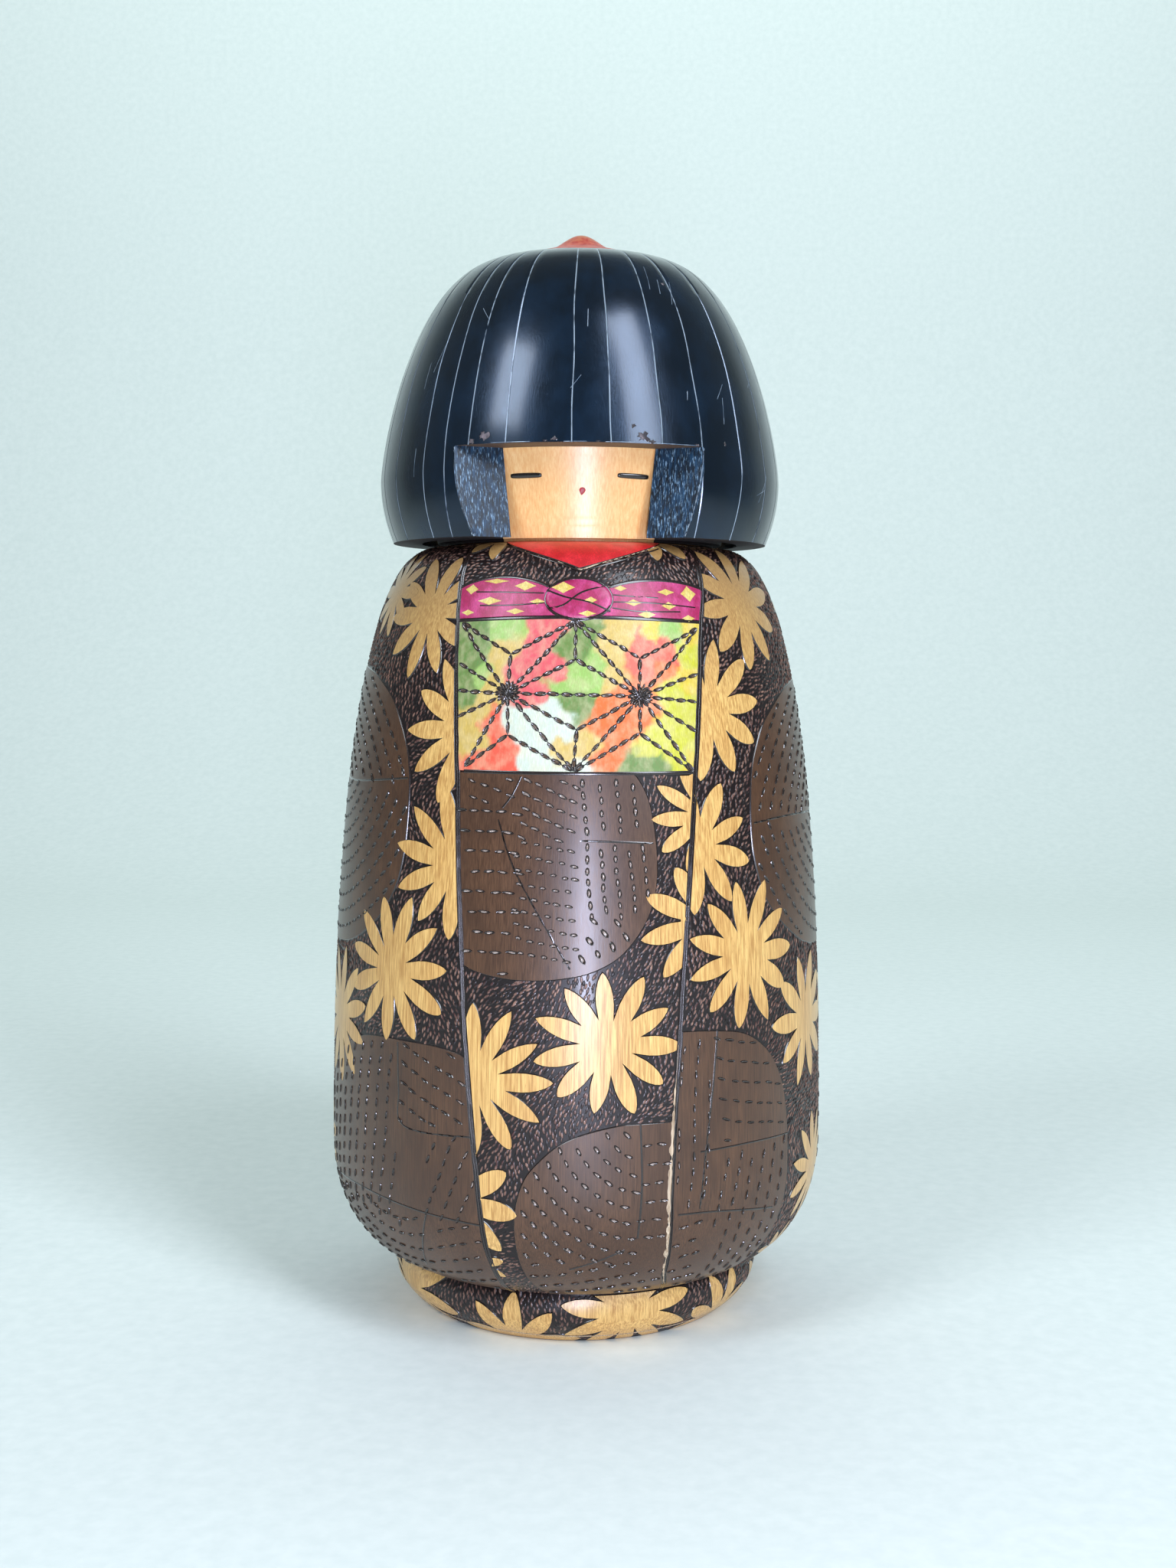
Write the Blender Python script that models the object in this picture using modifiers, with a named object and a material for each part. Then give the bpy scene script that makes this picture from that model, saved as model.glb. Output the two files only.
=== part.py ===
"""A turned kokeshi doll: a kimono body, a neck peg and a head.

The head is a face core glued into a hair shell, with a crown cap on top.
Metres, +Z up. The origin is the centre of the foot's underside, and the face looks along -Y.
The head turns on the neck peg, and head and peg lift out of the body together.
"""

import math

import bmesh
import bpy

# Clearances
GLUE_GAP = 0.0003  # between pieces that are glued together or rest on each other
RUN_GAP = 0.0004  # around the neck peg, in the body and in the face core

# Kimono body
FOOT_RADIUS = 0.0625
FOOT_WIDEST_HEIGHT = 0.0115
FOOT_TUCK = 0.0085  # from the foot's widest ring in to the edge that stands on the table
HEM_TUCK = 0.0020  # from the foot's widest ring in to the crease under the kimono
HEM_HEIGHT = 0.0180
BULGE_RADIUS = 0.0838
BULGE_HEIGHT = 0.0600  # where the kimono is widest
BODY_HEIGHT = 0.2555
NECK_FLAT_EDGE = 0.0008  # flat of the shoulders that shows round the neck ring
SKIRT_ROUNDING = (1.58, 2.60)  # superellipse exponents below the bulge: across, up
SHOULDER_ROUNDING = (2.68, 2.00)  # the same above the bulge
STANDING_RING = 0.0140  # width of the flat ring under the foot
UNDERSIDE_DEPTH = 0.0015  # of the turned recess inside it

# Neck peg
PEG_RADIUS = 0.0090
PEG_IN_BODY = 0.0410
PEG_IN_HEAD = 0.0270
PEG_CHAMFER = 0.0012
PEG_END_GAP = 0.0006  # between each end of the peg and its blind hole

# Face core
FACE_BROW_RADIUS = 0.0530
FACE_TAPER = 0.0050  # how much smaller the radius is at the chin
NECK_RING_STEP = 0.0028  # from the chin in to the bare ring that shows above the collar
NECK_RING_HEIGHT = 0.0009
FACE_CORE_ABOVE_BROW = 0.0070
FACE_CORE_CHAMFER = 0.0015

# Hair shell
HAIR_RIM_WALL = 0.0096  # from the hollow to the rim's outer edge
HAIR_SWELL = 0.0042  # how much wider the hair is at its widest ring than at the rim
HAIR_WIDEST_HEIGHT = 0.0203  # above the rim
HAIR_HEIGHT = 0.0940  # rim to crown
HAIR_ROUNDING = (2.55, 1.37)
FRINGE_HEIGHT = 0.0278  # underside of the fringe above the rim
WINDOW_FACE_ANGLES = (26.7, 23.3)  # degrees off the nose line at the brow and at the rim
WINDOW_HAIR_ANGLES = (35.3, 31.2)  # the same on the outside of the hair

# Crown cap
CROWN_RADIUS = 0.0205
CROWN_RIM = 0.0008
CROWN_DOME = 0.0038
NUB_RADIUS = 0.0120
NUB_HEIGHT = 0.0044
TENON_RADIUS = 0.0076
TENON_LENGTH = 0.0180

# Fineness of the turned surfaces
TURN_STEPS = 64
SMALL_TURN_STEPS = 40

# Radii and heights that follow from the sizes above
HEAD_BASE = BODY_HEIGHT + GLUE_GAP
HAIR_RIM = HEAD_BASE + NECK_RING_HEIGHT
FRINGE = HAIR_RIM + FRINGE_HEIGHT
HAIR_TOP = HAIR_RIM + HAIR_HEIGHT
FACE_CORE_TOP = FRINGE + FACE_CORE_ABOVE_BROW
FACE_CHIN_RADIUS = FACE_BROW_RADIUS - FACE_TAPER
NECK_RING_RADIUS = FACE_CHIN_RADIUS - NECK_RING_STEP
NECK_FLAT_RADIUS = NECK_RING_RADIUS + NECK_FLAT_EDGE
FOOT_REST_RADIUS = FOOT_RADIUS - FOOT_TUCK
HEM_RADIUS = FOOT_RADIUS - HEM_TUCK
UNDERSIDE_RADIUS = FOOT_REST_RADIUS - STANDING_RING
HOLLOW_RADIUS = FACE_BROW_RADIUS + GLUE_GAP
HAIR_RIM_RADIUS = HOLLOW_RADIUS + HAIR_RIM_WALL
HAIR_RADIUS = HAIR_RIM_RADIUS + HAIR_SWELL
HOLLOW_ROOF = FACE_CORE_TOP + GLUE_GAP
SOCKET_RADIUS = PEG_RADIUS + RUN_GAP
SOCKET_FLOOR = BODY_HEIGHT - PEG_IN_BODY - PEG_END_GAP
HEAD_SOCKET_ROOF = HEAD_BASE + PEG_IN_HEAD + PEG_END_GAP
CROWN_HOLE_RADIUS = TENON_RADIUS + GLUE_GAP
CROWN_HOLE_FLOOR = HAIR_TOP - TENON_LENGTH - GLUE_GAP
CROWN_BASE = HAIR_TOP + GLUE_GAP
CROWN_EDGE = CROWN_BASE + CROWN_RIM


def clear_scene():
    """Removes every object that the scene starts with."""
    for obj in list(bpy.data.objects):
        bpy.data.objects.remove(obj)


def new_collection(name, helper=False):
    """A collection in the scene; a helper's is left out of renders."""
    collection = bpy.data.collections.new(name)
    collection.hide_render = helper
    bpy.context.scene.collection.children.link(collection)
    return collection


def plain_material(name, colour, roughness):
    """A Principled material in one linear colour."""
    material = bpy.data.materials.new(name)
    material.use_nodes = True
    shader = material.node_tree.nodes["Principled BSDF"]
    shader.inputs["Base Color"].default_value = (*colour, 1.0)
    shader.inputs["Roughness"].default_value = roughness
    shader.inputs["Metallic"].default_value = 0.0
    return material


def quarter_curve(start, end, rounding, count):
    """A quarter superellipse of (radius, height) points, upright at its start and level at its end."""
    across, up = rounding
    points = []
    for i in range(count + 1):
        turn = 0.5 * math.pi * i / count
        width = math.cos(turn) ** (2.0 / across)
        rise = math.sin(turn) ** (2.0 / up)
        points.append(
            (end[0] + (start[0] - end[0]) * width, start[1] + (end[1] - start[1]) * rise)
        )
    return points


def bowed(start, middle, end, count):
    """A parabola through three (radius, height) points, at even heights from start to end."""
    points = []
    for i in range(count + 1):
        height = start[1] + (end[1] - start[1]) * i / count
        radius = 0.0
        for a, b, c in ((start, middle, end), (middle, end, start), (end, start, middle)):
            share = (height - b[1]) * (height - c[1]) / ((a[1] - b[1]) * (a[1] - c[1]))
            radius += a[0] * share
        points.append((radius, height))
    return points


def body_outline():
    """The kimono body, from the socket's floor out over the shoulders and down to the underside."""
    widest = (BULGE_RADIUS, BULGE_HEIGHT)
    hem = (HEM_RADIUS, HEM_HEIGHT)
    shoulders = quarter_curve(widest, (NECK_FLAT_RADIUS, BODY_HEIGHT), SHOULDER_ROUNDING, 16)
    skirt = quarter_curve(widest, hem, SKIRT_ROUNDING, 9)
    foot = bowed(hem, (FOOT_RADIUS, FOOT_WIDEST_HEIGHT), (FOOT_REST_RADIUS, 0.0), 6)
    outline = [(0.0, SOCKET_FLOOR), (SOCKET_RADIUS, SOCKET_FLOOR), (SOCKET_RADIUS, BODY_HEIGHT)]
    outline += shoulders[::-1] + skirt[1:] + foot[1:]
    outline += [
        (UNDERSIDE_RADIUS, 0.0),
        (UNDERSIDE_RADIUS, UNDERSIDE_DEPTH),
        (0.0, UNDERSIDE_DEPTH),
    ]
    return outline


def peg_outline():
    """A plain dowel with chamfered ends, standing in both blind holes."""
    top = HEAD_BASE + PEG_IN_HEAD
    bottom = BODY_HEIGHT - PEG_IN_BODY
    end_radius = PEG_RADIUS - PEG_CHAMFER
    return [
        (0.0, top),
        (end_radius, top),
        (PEG_RADIUS, top - PEG_CHAMFER),
        (PEG_RADIUS, bottom + PEG_CHAMFER),
        (end_radius, bottom),
        (0.0, bottom),
    ]


def face_core_outline():
    """The bare wooden core: a face that tapers to the chin, a neck ring and a blind hole for the peg."""
    return [
        (0.0, FACE_CORE_TOP),
        (FACE_BROW_RADIUS - FACE_CORE_CHAMFER, FACE_CORE_TOP),
        (FACE_BROW_RADIUS, FACE_CORE_TOP - FACE_CORE_CHAMFER),
        (FACE_BROW_RADIUS, FRINGE),
        (FACE_CHIN_RADIUS, HAIR_RIM),
        (NECK_RING_RADIUS, HAIR_RIM),
        (NECK_RING_RADIUS, HEAD_BASE),
        (SOCKET_RADIUS, HEAD_BASE),
        (SOCKET_RADIUS, HEAD_SOCKET_ROOF),
        (0.0, HEAD_SOCKET_ROOF),
    ]


def hair_radius(height):
    """Outer radius of the hair at a height between its rim and its widest ring."""
    below = (HAIR_RIM + HAIR_WIDEST_HEIGHT - height) / HAIR_WIDEST_HEIGHT
    return HAIR_RADIUS - (HAIR_RADIUS - HAIR_RIM_RADIUS) * max(below, 0.0) ** 2


def hair_outline():
    """The bell of hair: out of the crown's blind hole, down to the rim and up inside the hollow."""
    widest = HAIR_RIM + HAIR_WIDEST_HEIGHT
    dome = quarter_curve((HAIR_RADIUS, widest), (CROWN_RADIUS, HAIR_TOP), HAIR_ROUNDING, 15)
    skirt_steps = 4
    skirt = []
    for i in range(1, skirt_steps + 1):
        height = widest - HAIR_WIDEST_HEIGHT * i / skirt_steps
        skirt.append((hair_radius(height), height))
    crown_hole = [
        (0.0, CROWN_HOLE_FLOOR),
        (CROWN_HOLE_RADIUS, CROWN_HOLE_FLOOR),
        (CROWN_HOLE_RADIUS, HAIR_TOP),
    ]
    hollow = [(HOLLOW_RADIUS, HAIR_RIM), (HOLLOW_RADIUS, HOLLOW_ROOF), (0.0, HOLLOW_ROOF)]
    return crown_hole + dome[::-1] + skirt + hollow


def crown_outline():
    """A low domed disc that rises to a bell-shaped nub in its middle, with a tenon below."""
    steps = 14
    outline = []
    for i in range(steps + 1):
        radius = CROWN_RADIUS * i / steps
        dome = CROWN_DOME * (1.0 - (radius / CROWN_RADIUS) ** 2)
        nub = NUB_HEIGHT * 0.5 * (1.0 + math.cos(math.pi * min(radius / NUB_RADIUS, 1.0)))
        outline.append((radius, CROWN_EDGE + dome + nub))
    outline += [
        (CROWN_RADIUS, CROWN_BASE),
        (TENON_RADIUS, CROWN_BASE),
        (TENON_RADIUS, CROWN_BASE - TENON_LENGTH),
        (0.0, CROWN_BASE - TENON_LENGTH),
    ]
    return outline


def turned(name, outline, collection, material, steps=TURN_STEPS):
    """A turned piece: the (radius, height) outline at +X, spun round Z by a Screw modifier."""
    mesh = bpy.data.meshes.new(name)
    edges = [(i, i + 1) for i in range(len(outline) - 1)]
    mesh.from_pydata([(radius, 0.0, height) for radius, height in outline], edges, [])
    obj = bpy.data.objects.new(name, mesh)
    collection.objects.link(obj)
    mesh.materials.append(material)
    screw = obj.modifiers.new("turning", "SCREW")
    screw.axis = "Z"
    screw.angle = 2.0 * math.pi
    screw.steps = steps
    screw.render_steps = steps
    screw.use_merge_vertices = True
    screw.merge_threshold = 0.00005
    screw.use_smooth_shade = True
    return obj


def wall_corners(face_angle, hair_angle, outer_radius):
    """Half the width of the face window at one height: its inner and outer (x, y), run on past the wood."""
    inner_run = 0.25  # share of the wall's own depth, into the hollow
    outer_run = 3.5  # the same, past the outside of the hair
    face_turn, hair_turn = math.radians(face_angle), math.radians(hair_angle)
    inner = (HOLLOW_RADIUS * math.sin(face_turn), -HOLLOW_RADIUS * math.cos(face_turn))
    outer = (outer_radius * math.sin(hair_turn), -outer_radius * math.cos(hair_turn))
    run = (outer[0] - inner[0], outer[1] - inner[1])
    return (
        (inner[0] - run[0] * inner_run, inner[1] - run[1] * inner_run),
        (outer[0] + run[0] * outer_run, outer[1] + run[1] * outer_run),
    )


def window_cutter(collection):
    """The wedge that opens the hair in front of the face, a cube drawn out to the slanted walls."""
    brow_inner, brow_outer = wall_corners(
        WINDOW_FACE_ANGLES[0], WINDOW_HAIR_ANGLES[0], hair_radius(FRINGE)
    )
    rim_inner, rim_outer = wall_corners(WINDOW_FACE_ANGLES[1], WINDOW_HAIR_ANGLES[1], HAIR_RIM_RADIUS)
    below = 1.25  # the wedge runs on past the rim by a quarter of its height
    mesh = bpy.data.meshes.new("face_window_cutter")
    cube = bmesh.new()
    bmesh.ops.create_cube(cube, size=2.0)
    for vert in cube.verts:
        brow, rim = (brow_outer, rim_outer) if vert.co.y < 0 else (brow_inner, rim_inner)
        side = 1.0 if vert.co.x > 0 else -1.0
        share = 0.0 if vert.co.z > 0 else below
        across = brow[0] + (rim[0] - brow[0]) * share
        depth = brow[1] + (rim[1] - brow[1]) * share
        vert.co = (side * across, depth, FRINGE - FRINGE_HEIGHT * share)
    bmesh.ops.triangulate(cube, faces=cube.faces)
    cube.to_mesh(mesh)
    cube.free()
    cutter = bpy.data.objects.new("face_window_cutter", mesh)
    collection.objects.link(cutter)
    cutter.hide_render = True
    cutter.display_type = "WIRE"
    return cutter


def main():
    """Builds the doll's five pieces."""
    clear_scene()
    doll = new_collection("kokeshi_doll")
    cutters = new_collection("cutters", helper=True)

    burnt_wood = plain_material("burnt_wood", (0.13, 0.07, 0.04), 0.45)
    beech = plain_material("beech_dowel", (0.62, 0.42, 0.24), 0.6)
    waxed_wood = plain_material("waxed_wood", (0.70, 0.40, 0.15), 0.4)
    red_stain = plain_material("red_stain", (0.50, 0.08, 0.05), 0.5)
    lacquer = plain_material("black_lacquer", (0.008, 0.012, 0.020), 0.2)

    turned("body", body_outline(), doll, burnt_wood)
    turned("neck_peg", peg_outline(), doll, beech, SMALL_TURN_STEPS)
    turned("face_core", face_core_outline(), doll, waxed_wood)
    turned("crown_cap", crown_outline(), doll, red_stain, SMALL_TURN_STEPS)
    hair = turned("hair_shell", hair_outline(), doll, lacquer)

    window = hair.modifiers.new("face_window", "BOOLEAN")
    window.operation = "DIFFERENCE"
    window.solver = "EXACT"
    window.object = window_cutter(cutters)


main()
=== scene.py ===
"""The looks of a large turned kokeshi doll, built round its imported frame.

The kimono is drawn on the turned body with a hot point. The ground is stippled dark between blossoms
and quilted patches that stand at the old surface, two long seams divide the panels, and the sash is
washed with water colour. Metres, +Z up; the face looks along -Y, and angles are counted from there,
positive to the right seen from the front.
"""

from __future__ import annotations

import logging
import math
import random
from dataclasses import dataclass
from enum import Enum
from typing import Callable, Iterable, Sequence

import bmesh
import bpy
import numpy as np
from bmesh.types import BMesh, BMFace, BMVert
from bpy.types import Material, Node, NodeSocket, NodeTree, Object
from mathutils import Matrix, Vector, noise


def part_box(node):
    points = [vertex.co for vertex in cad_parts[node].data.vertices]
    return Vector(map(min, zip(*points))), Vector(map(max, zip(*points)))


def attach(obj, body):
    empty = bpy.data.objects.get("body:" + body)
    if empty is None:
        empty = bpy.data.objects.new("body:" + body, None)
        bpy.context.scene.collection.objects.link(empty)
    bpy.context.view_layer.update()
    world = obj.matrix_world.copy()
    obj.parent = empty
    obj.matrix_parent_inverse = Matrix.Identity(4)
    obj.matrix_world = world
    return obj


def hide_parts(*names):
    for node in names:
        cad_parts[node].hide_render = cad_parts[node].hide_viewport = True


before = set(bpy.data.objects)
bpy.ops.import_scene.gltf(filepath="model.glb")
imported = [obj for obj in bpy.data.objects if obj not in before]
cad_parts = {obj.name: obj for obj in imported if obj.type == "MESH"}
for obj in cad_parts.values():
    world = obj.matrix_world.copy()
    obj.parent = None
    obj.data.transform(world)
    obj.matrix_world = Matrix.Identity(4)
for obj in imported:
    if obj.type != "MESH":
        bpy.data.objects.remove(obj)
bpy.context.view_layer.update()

log = logging.getLogger("kokeshi")

MM = 0.001
FLOOR = -0.00035  # the burnt ground lies this far under the old turned surface
Point = tuple[float, float]


# ---------------------------------------------------------------- nodes and materials


def linear(code: str) -> tuple[float, float, float, float]:
    """Turns an sRGB hex colour into linear red, green, blue and alpha.

    Args:
        code: six hex digits, with or without a hash sign.

    Returns:
        The linear colour with alpha 1.
    """
    digits = code.lstrip("#")
    parts = [int(digits[i : i + 2], 16) / 255.0 for i in (0, 2, 4)]
    red, green, blue = (p / 12.92 if p <= 0.04045 else ((p + 0.055) / 1.055) ** 2.4 for p in parts)
    return red, green, blue, 1.0


def add(tree: NodeTree, kind: str, settings: dict | None = None, links: dict | None = None) -> Node:
    """Adds a node with its settings and what goes into it.

    Args:
        tree: the material's node tree.
        kind: the node's type name.
        settings: its own properties, by name.
        links: its inputs by name or number, each a value or another node's output socket.

    Returns:
        The new node.
    """
    node = tree.nodes.new(kind)
    for key, value in (settings or {}).items():
        setattr(node, key, value)
    for key, value in (links or {}).items():
        if isinstance(value, NodeSocket):
            tree.links.new(value, node.inputs[key])
        else:
            node.inputs[key].default_value = value
    return node


def mix(tree: NodeTree, share, first, second, blend: str = "MIX") -> NodeSocket:
    """Mixes two colours.

    Args:
        tree: the material's node tree.
        share: how much of the second, a number or a socket.
        first: a colour or a socket.
        second: a colour or a socket.
        blend: the way they are mixed.

    Returns:
        The mixed colour's socket.
    """
    node = add(tree, "ShaderNodeMix", {"data_type": "RGBA", "blend_type": blend})
    for index, value in ((0, share), (6, first), (7, second)):
        if isinstance(value, NodeSocket):
            tree.links.new(value, node.inputs[index])
        else:
            node.inputs[index].default_value = value
    return node.outputs[2]


def ramp(tree: NodeTree, factor: NodeSocket, low: float, high: float) -> NodeSocket:
    """Stretches a value so that low becomes 0 and high becomes 1, held at both ends.

    Args:
        tree: the material's node tree.
        factor: the value.
        low: what becomes 0.
        high: what becomes 1.

    Returns:
        The stretched value's socket.
    """
    limits = {"Value": factor, "From Min": low, "From Max": high, "To Min": 0.0, "To Max": 1.0}
    return add(tree, "ShaderNodeMapRange", {"clamp": True}, limits).outputs["Result"]


def grain(tree: NodeTree, width: float, stretch: float, detail: float = 3.0) -> NodeSocket:
    """Noise drawn out along the turning axis, as wood fibres run in these pieces.

    Args:
        tree: the material's node tree.
        width: the fibres' width in metres.
        stretch: how many times longer than wide they are.
        detail: octaves of the noise.

    Returns:
        The noise's socket, 0 to 1.
    """
    place = add(tree, "ShaderNodeTexCoord")
    drawn = add(
        tree,
        "ShaderNodeMapping",
        links={"Vector": place.outputs["Object"], "Scale": (1.0, 1.0, 1.0 / stretch)},
    )
    fibres = {"Vector": drawn.outputs["Vector"], "Scale": 1.0 / width, "Detail": detail, "Roughness": 0.6}
    return add(tree, "ShaderNodeTexNoise", links=fibres).outputs["Fac"]


def attribute(tree: NodeTree, name: str, colour: bool = False) -> NodeSocket:
    """Reads an attribute of the mesh: its colour, or its value."""
    node = add(tree, "ShaderNodeAttribute", {"attribute_name": name})
    return node.outputs["Color" if colour else "Fac"]


def bump(tree: NodeTree, height: NodeSocket, distance: float, strength: float = 1.0) -> NodeSocket:
    """Turns a height into a normal; distance is the height's size in metres."""
    links = {"Height": height, "Distance": distance, "Strength": strength}
    return add(tree, "ShaderNodeBump", links=links).outputs["Normal"]


def start_material(name: str) -> tuple[Material, NodeTree, Node]:
    """A new node material, its tree and its Principled shader."""
    material = bpy.data.materials.new(name)
    material.use_nodes = True
    tree = material.node_tree
    return material, tree, tree.nodes["Principled BSDF"]


def wire(tree: NodeTree, shader: Node, sockets: dict) -> None:
    """Sets the shader's sockets.

    Args:
        tree: the material's node tree.
        shader: the Principled shader.
        sockets: values or sockets by input name.
    """
    for key, value in sockets.items():
        if isinstance(value, NodeSocket):
            tree.links.new(value, shader.inputs[key])
        else:
            shader.inputs[key].default_value = value


@dataclass(frozen=True)
class WaxedWood:
    """Turned maple-like wood under thin wax: pale and dark fibres along the axis, a satin surface."""

    name: str
    light: str
    dark: str
    fibre: float = 0.35 * MM  # drawn a little coarser than real fibres so that they show
    roughness: float = 0.42
    coat: float = 0.25
    wear: float = 0.25  # how strongly the tone drifts from place to place
    painted_light_limit: float = 0.0  # height above which the colour turns browner, partly old wax and partly painted shade; 0 where it does not

    def build(self) -> Material:
        """Builds the material."""
        material, tree, shader = start_material(self.name)
        fine = grain(tree, self.fibre, 40.0)
        broad = grain(tree, 9.0 * MM, 5.0, 2.0)
        fibres = ramp(tree, fine, 0.36, 0.66)
        wood = mix(tree, fibres, linear(self.dark), linear(self.light))
        tone = mix(tree, ramp(tree, broad, 0.38, 0.62), linear("d8b78a"), (1.0, 1.0, 1.0, 1.0))
        colour = mix(tree, self.wear, wood, mix(tree, 1.0, wood, tone, "MULTIPLY"))
        pores = grain(tree, 0.22 * MM, 14.0, 1.0)
        colour = mix(tree, ramp(tree, pores, 0.66, 0.74), colour, linear(self.dark), "MIX")
        # Partly old wax, partly painted shade: the colour turns browner above the set height.
        if self.painted_light_limit:
            place = add(tree, "ShaderNodeTexCoord")
            height = add(tree, "ShaderNodeSeparateXYZ", links={0: place.outputs["Object"]}).outputs["Z"]
            old = mix(tree, 0.7, colour, linear("8c6c45"))
            colour = mix(tree, ramp(tree, height, self.painted_light_limit, self.painted_light_limit + 40.0 * MM), colour, old)
        wire(
            tree,
            shader,
            {
                "Base Color": colour,
                "Roughness": self.roughness,
                "Metallic": 0.0,
                "IOR": 1.5,
                "Coat Weight": self.coat,
                "Coat Roughness": 0.28,
                "Normal": bump(tree, fine, 0.03 * MM, 0.6),
            },
        )
        return material


@dataclass(frozen=True)
class BurntGround:
    """Wood scorched with a hot point: nearly black hollows, and browner tops where the point missed."""

    name: str
    hollow: str
    scorched: str
    spared: str

    def build(self) -> Material:
        """Builds the material; the mesh's "tint" is highest on the tops that the point spared."""
        material, tree, shader = start_material(self.name)
        spared = attribute(tree, "tint")
        patchy = grain(tree, 1.6 * MM, 2.0, 2.0)
        top = mix(tree, ramp(tree, patchy, 0.35, 0.65), linear(self.scorched), linear(self.spared))
        colour = mix(tree, ramp(tree, spared, 0.10, 0.46), linear(self.hollow), top)
        fine = grain(tree, 0.25 * MM, 3.0, 2.0)
        wire(
            tree,
            shader,
            {
                "Base Color": colour,
                "Roughness": 0.36,
                "IOR": 1.5,
                "Specular IOR Level": 0.32,
                "Coat Weight": 0.35,
                "Coat Roughness": 0.14,
                "Normal": bump(tree, fine, 0.04 * MM, 0.8),
            },
        )
        return material


@dataclass(frozen=True)
class StainedWood:
    """Wood stained with walnut brown and polished: even, a little streaked, with a soft shine."""

    name: str
    light: str
    dark: str

    def build(self) -> Material:
        """Builds the material."""
        material, tree, shader = start_material(self.name)
        fine = grain(tree, 0.35 * MM, 30.0)
        cloudy = grain(tree, 14.0 * MM, 1.6, 2.0)
        colour = mix(tree, ramp(tree, fine, 0.3, 0.72), linear(self.dark), linear(self.light))
        colour = mix(tree, ramp(tree, cloudy, 0.42, 0.60), colour, mix(tree, 0.5, colour, linear(self.dark)))
        rubbed = add(
            tree,
            "ShaderNodeMapRange",
            links={"Value": fine, "From Min": 0.2, "From Max": 0.8, "To Min": 0.30, "To Max": 0.44},
        )
        wire(
            tree,
            shader,
            {
                "Base Color": colour,
                "Roughness": rubbed.outputs["Result"],
                "IOR": 1.5,
                "Coat Weight": 0.35,
                "Coat Roughness": 0.24,
                "Normal": bump(tree, fine, 0.035 * MM, 0.8),
            },
        )
        return material


@dataclass(frozen=True)
class ColourWash:
    """Water colour on bare wood: the pigment of the mesh's "wash", thinner and thicker along the fibres."""

    name: str
    attribute: str = "wash"

    def build(self) -> Material:
        """Builds the material."""
        material, tree, shader = start_material(self.name)
        pigment = attribute(tree, self.attribute, colour=True)
        fine = grain(tree, 0.30 * MM, 25.0)
        cloudy = grain(tree, 3.0 * MM, 1.5, 3.0)
        thin = mix(tree, 0.30, pigment, linear("e9d9ae"))
        colour = mix(tree, ramp(tree, cloudy, 0.40, 0.66), pigment, thin)
        colour = mix(tree, ramp(tree, fine, 0.64, 0.46), colour, mix(tree, 0.25, colour, linear("7a5a30")))
        wire(
            tree,
            shader,
            {
                "Base Color": colour,
                "Roughness": 0.45,
                "IOR": 1.5,
                "Coat Weight": 0.2,
                "Coat Roughness": 0.3,
                "Normal": bump(tree, fine, 0.03 * MM, 0.7),
            },
        )
        return material


@dataclass(frozen=True)
class Stain:
    """A dye stain rubbed into turned wood: one pigment, paler along some fibres and where it is worn."""

    name: str
    deep: str
    pale: str
    roughness: float = 0.42
    coat: float = 0.2

    def build(self) -> Material:
        """Builds the material."""
        material, tree, shader = start_material(self.name)
        fine = grain(tree, 0.30 * MM, 25.0)
        cloudy = grain(tree, 4.0 * MM, 1.4, 3.0)
        colour = mix(tree, ramp(tree, cloudy, 0.42, 0.70), linear(self.deep), linear(self.pale))
        colour = mix(tree, ramp(tree, fine, 0.62, 0.45), colour, mix(tree, 0.3, colour, linear("3a1410")))
        wire(
            tree,
            shader,
            {
                "Base Color": colour,
                "Roughness": self.roughness,
                "IOR": 1.5,
                "Coat Weight": self.coat,
                "Coat Roughness": 0.25,
                "Normal": bump(tree, fine, 0.03 * MM, 0.6),
            },
        )
        return material


@dataclass(frozen=True)
class HotLine:
    """A line burnt deep with a hot point: black, with the glassy skin that scorched wood gets."""

    name: str
    colour: str
    roughness: float = 0.24

    def build(self) -> Material:
        """Builds the material."""
        material, tree, shader = start_material(self.name)
        rough = grain(tree, 0.30 * MM, 1.5, 2.0)
        colour = mix(tree, ramp(tree, rough, 0.45, 0.75), linear(self.colour), linear("3b2a22"))
        wire(
            tree,
            shader,
            {
                "Base Color": colour,
                "Roughness": self.roughness,
                "IOR": 1.5,
                "Coat Weight": 0.6,
                "Coat Roughness": 0.12,
                "Normal": bump(tree, rough, 0.04 * MM, 0.5),
            },
        )
        return material


@dataclass(frozen=True)
class BlackLacquer:
    """Brushed black lacquer with a blue cast: glossy, finely scratched, pale in the cut lines."""

    name: str
    colour: str = "030c16"
    line: str = "8c99a2"

    def build(self) -> Material:
        """Builds the material; the mesh's "cut" is 1 along the bottom of each engraved hair line."""
        material, tree, shader = start_material(self.name)
        brushed = grain(tree, 0.4 * MM, 40.0, 3.0)
        cloudy = grain(tree, 12.0 * MM, 1.5, 3.0)
        black = mix(tree, ramp(tree, cloudy, 0.40, 0.65), linear(self.colour), linear("051524"))
        dusty = grain(tree, 2.0 * MM, 6.0, 3.0)
        cut = ramp(tree, attribute(tree, "cut"), 0.30, 0.55)
        faint = add(
            tree,
            "ShaderNodeMath",
            {"operation": "MULTIPLY"},
            {0: cut, 1: ramp(tree, dusty, 0.30, 0.50)},
        ).outputs[0]
        colour = mix(tree, faint, black, linear(self.line))
        rubbed = add(
            tree,
            "ShaderNodeMapRange",
            links={"Value": cloudy, "From Min": 0.3, "From Max": 0.7, "To Min": 0.16, "To Max": 0.28},
        )
        wire(
            tree,
            shader,
            {
                "Base Color": colour,
                "Roughness": rubbed.outputs["Result"],
                "IOR": 1.5,
                "Specular Tint": linear("a9c8f2"),
                "Coat Weight": 0.5,
                "Coat Roughness": 0.16,
                "Normal": bump(tree, brushed, 0.05 * MM, 0.7),
            },
        )
        return material


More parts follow.
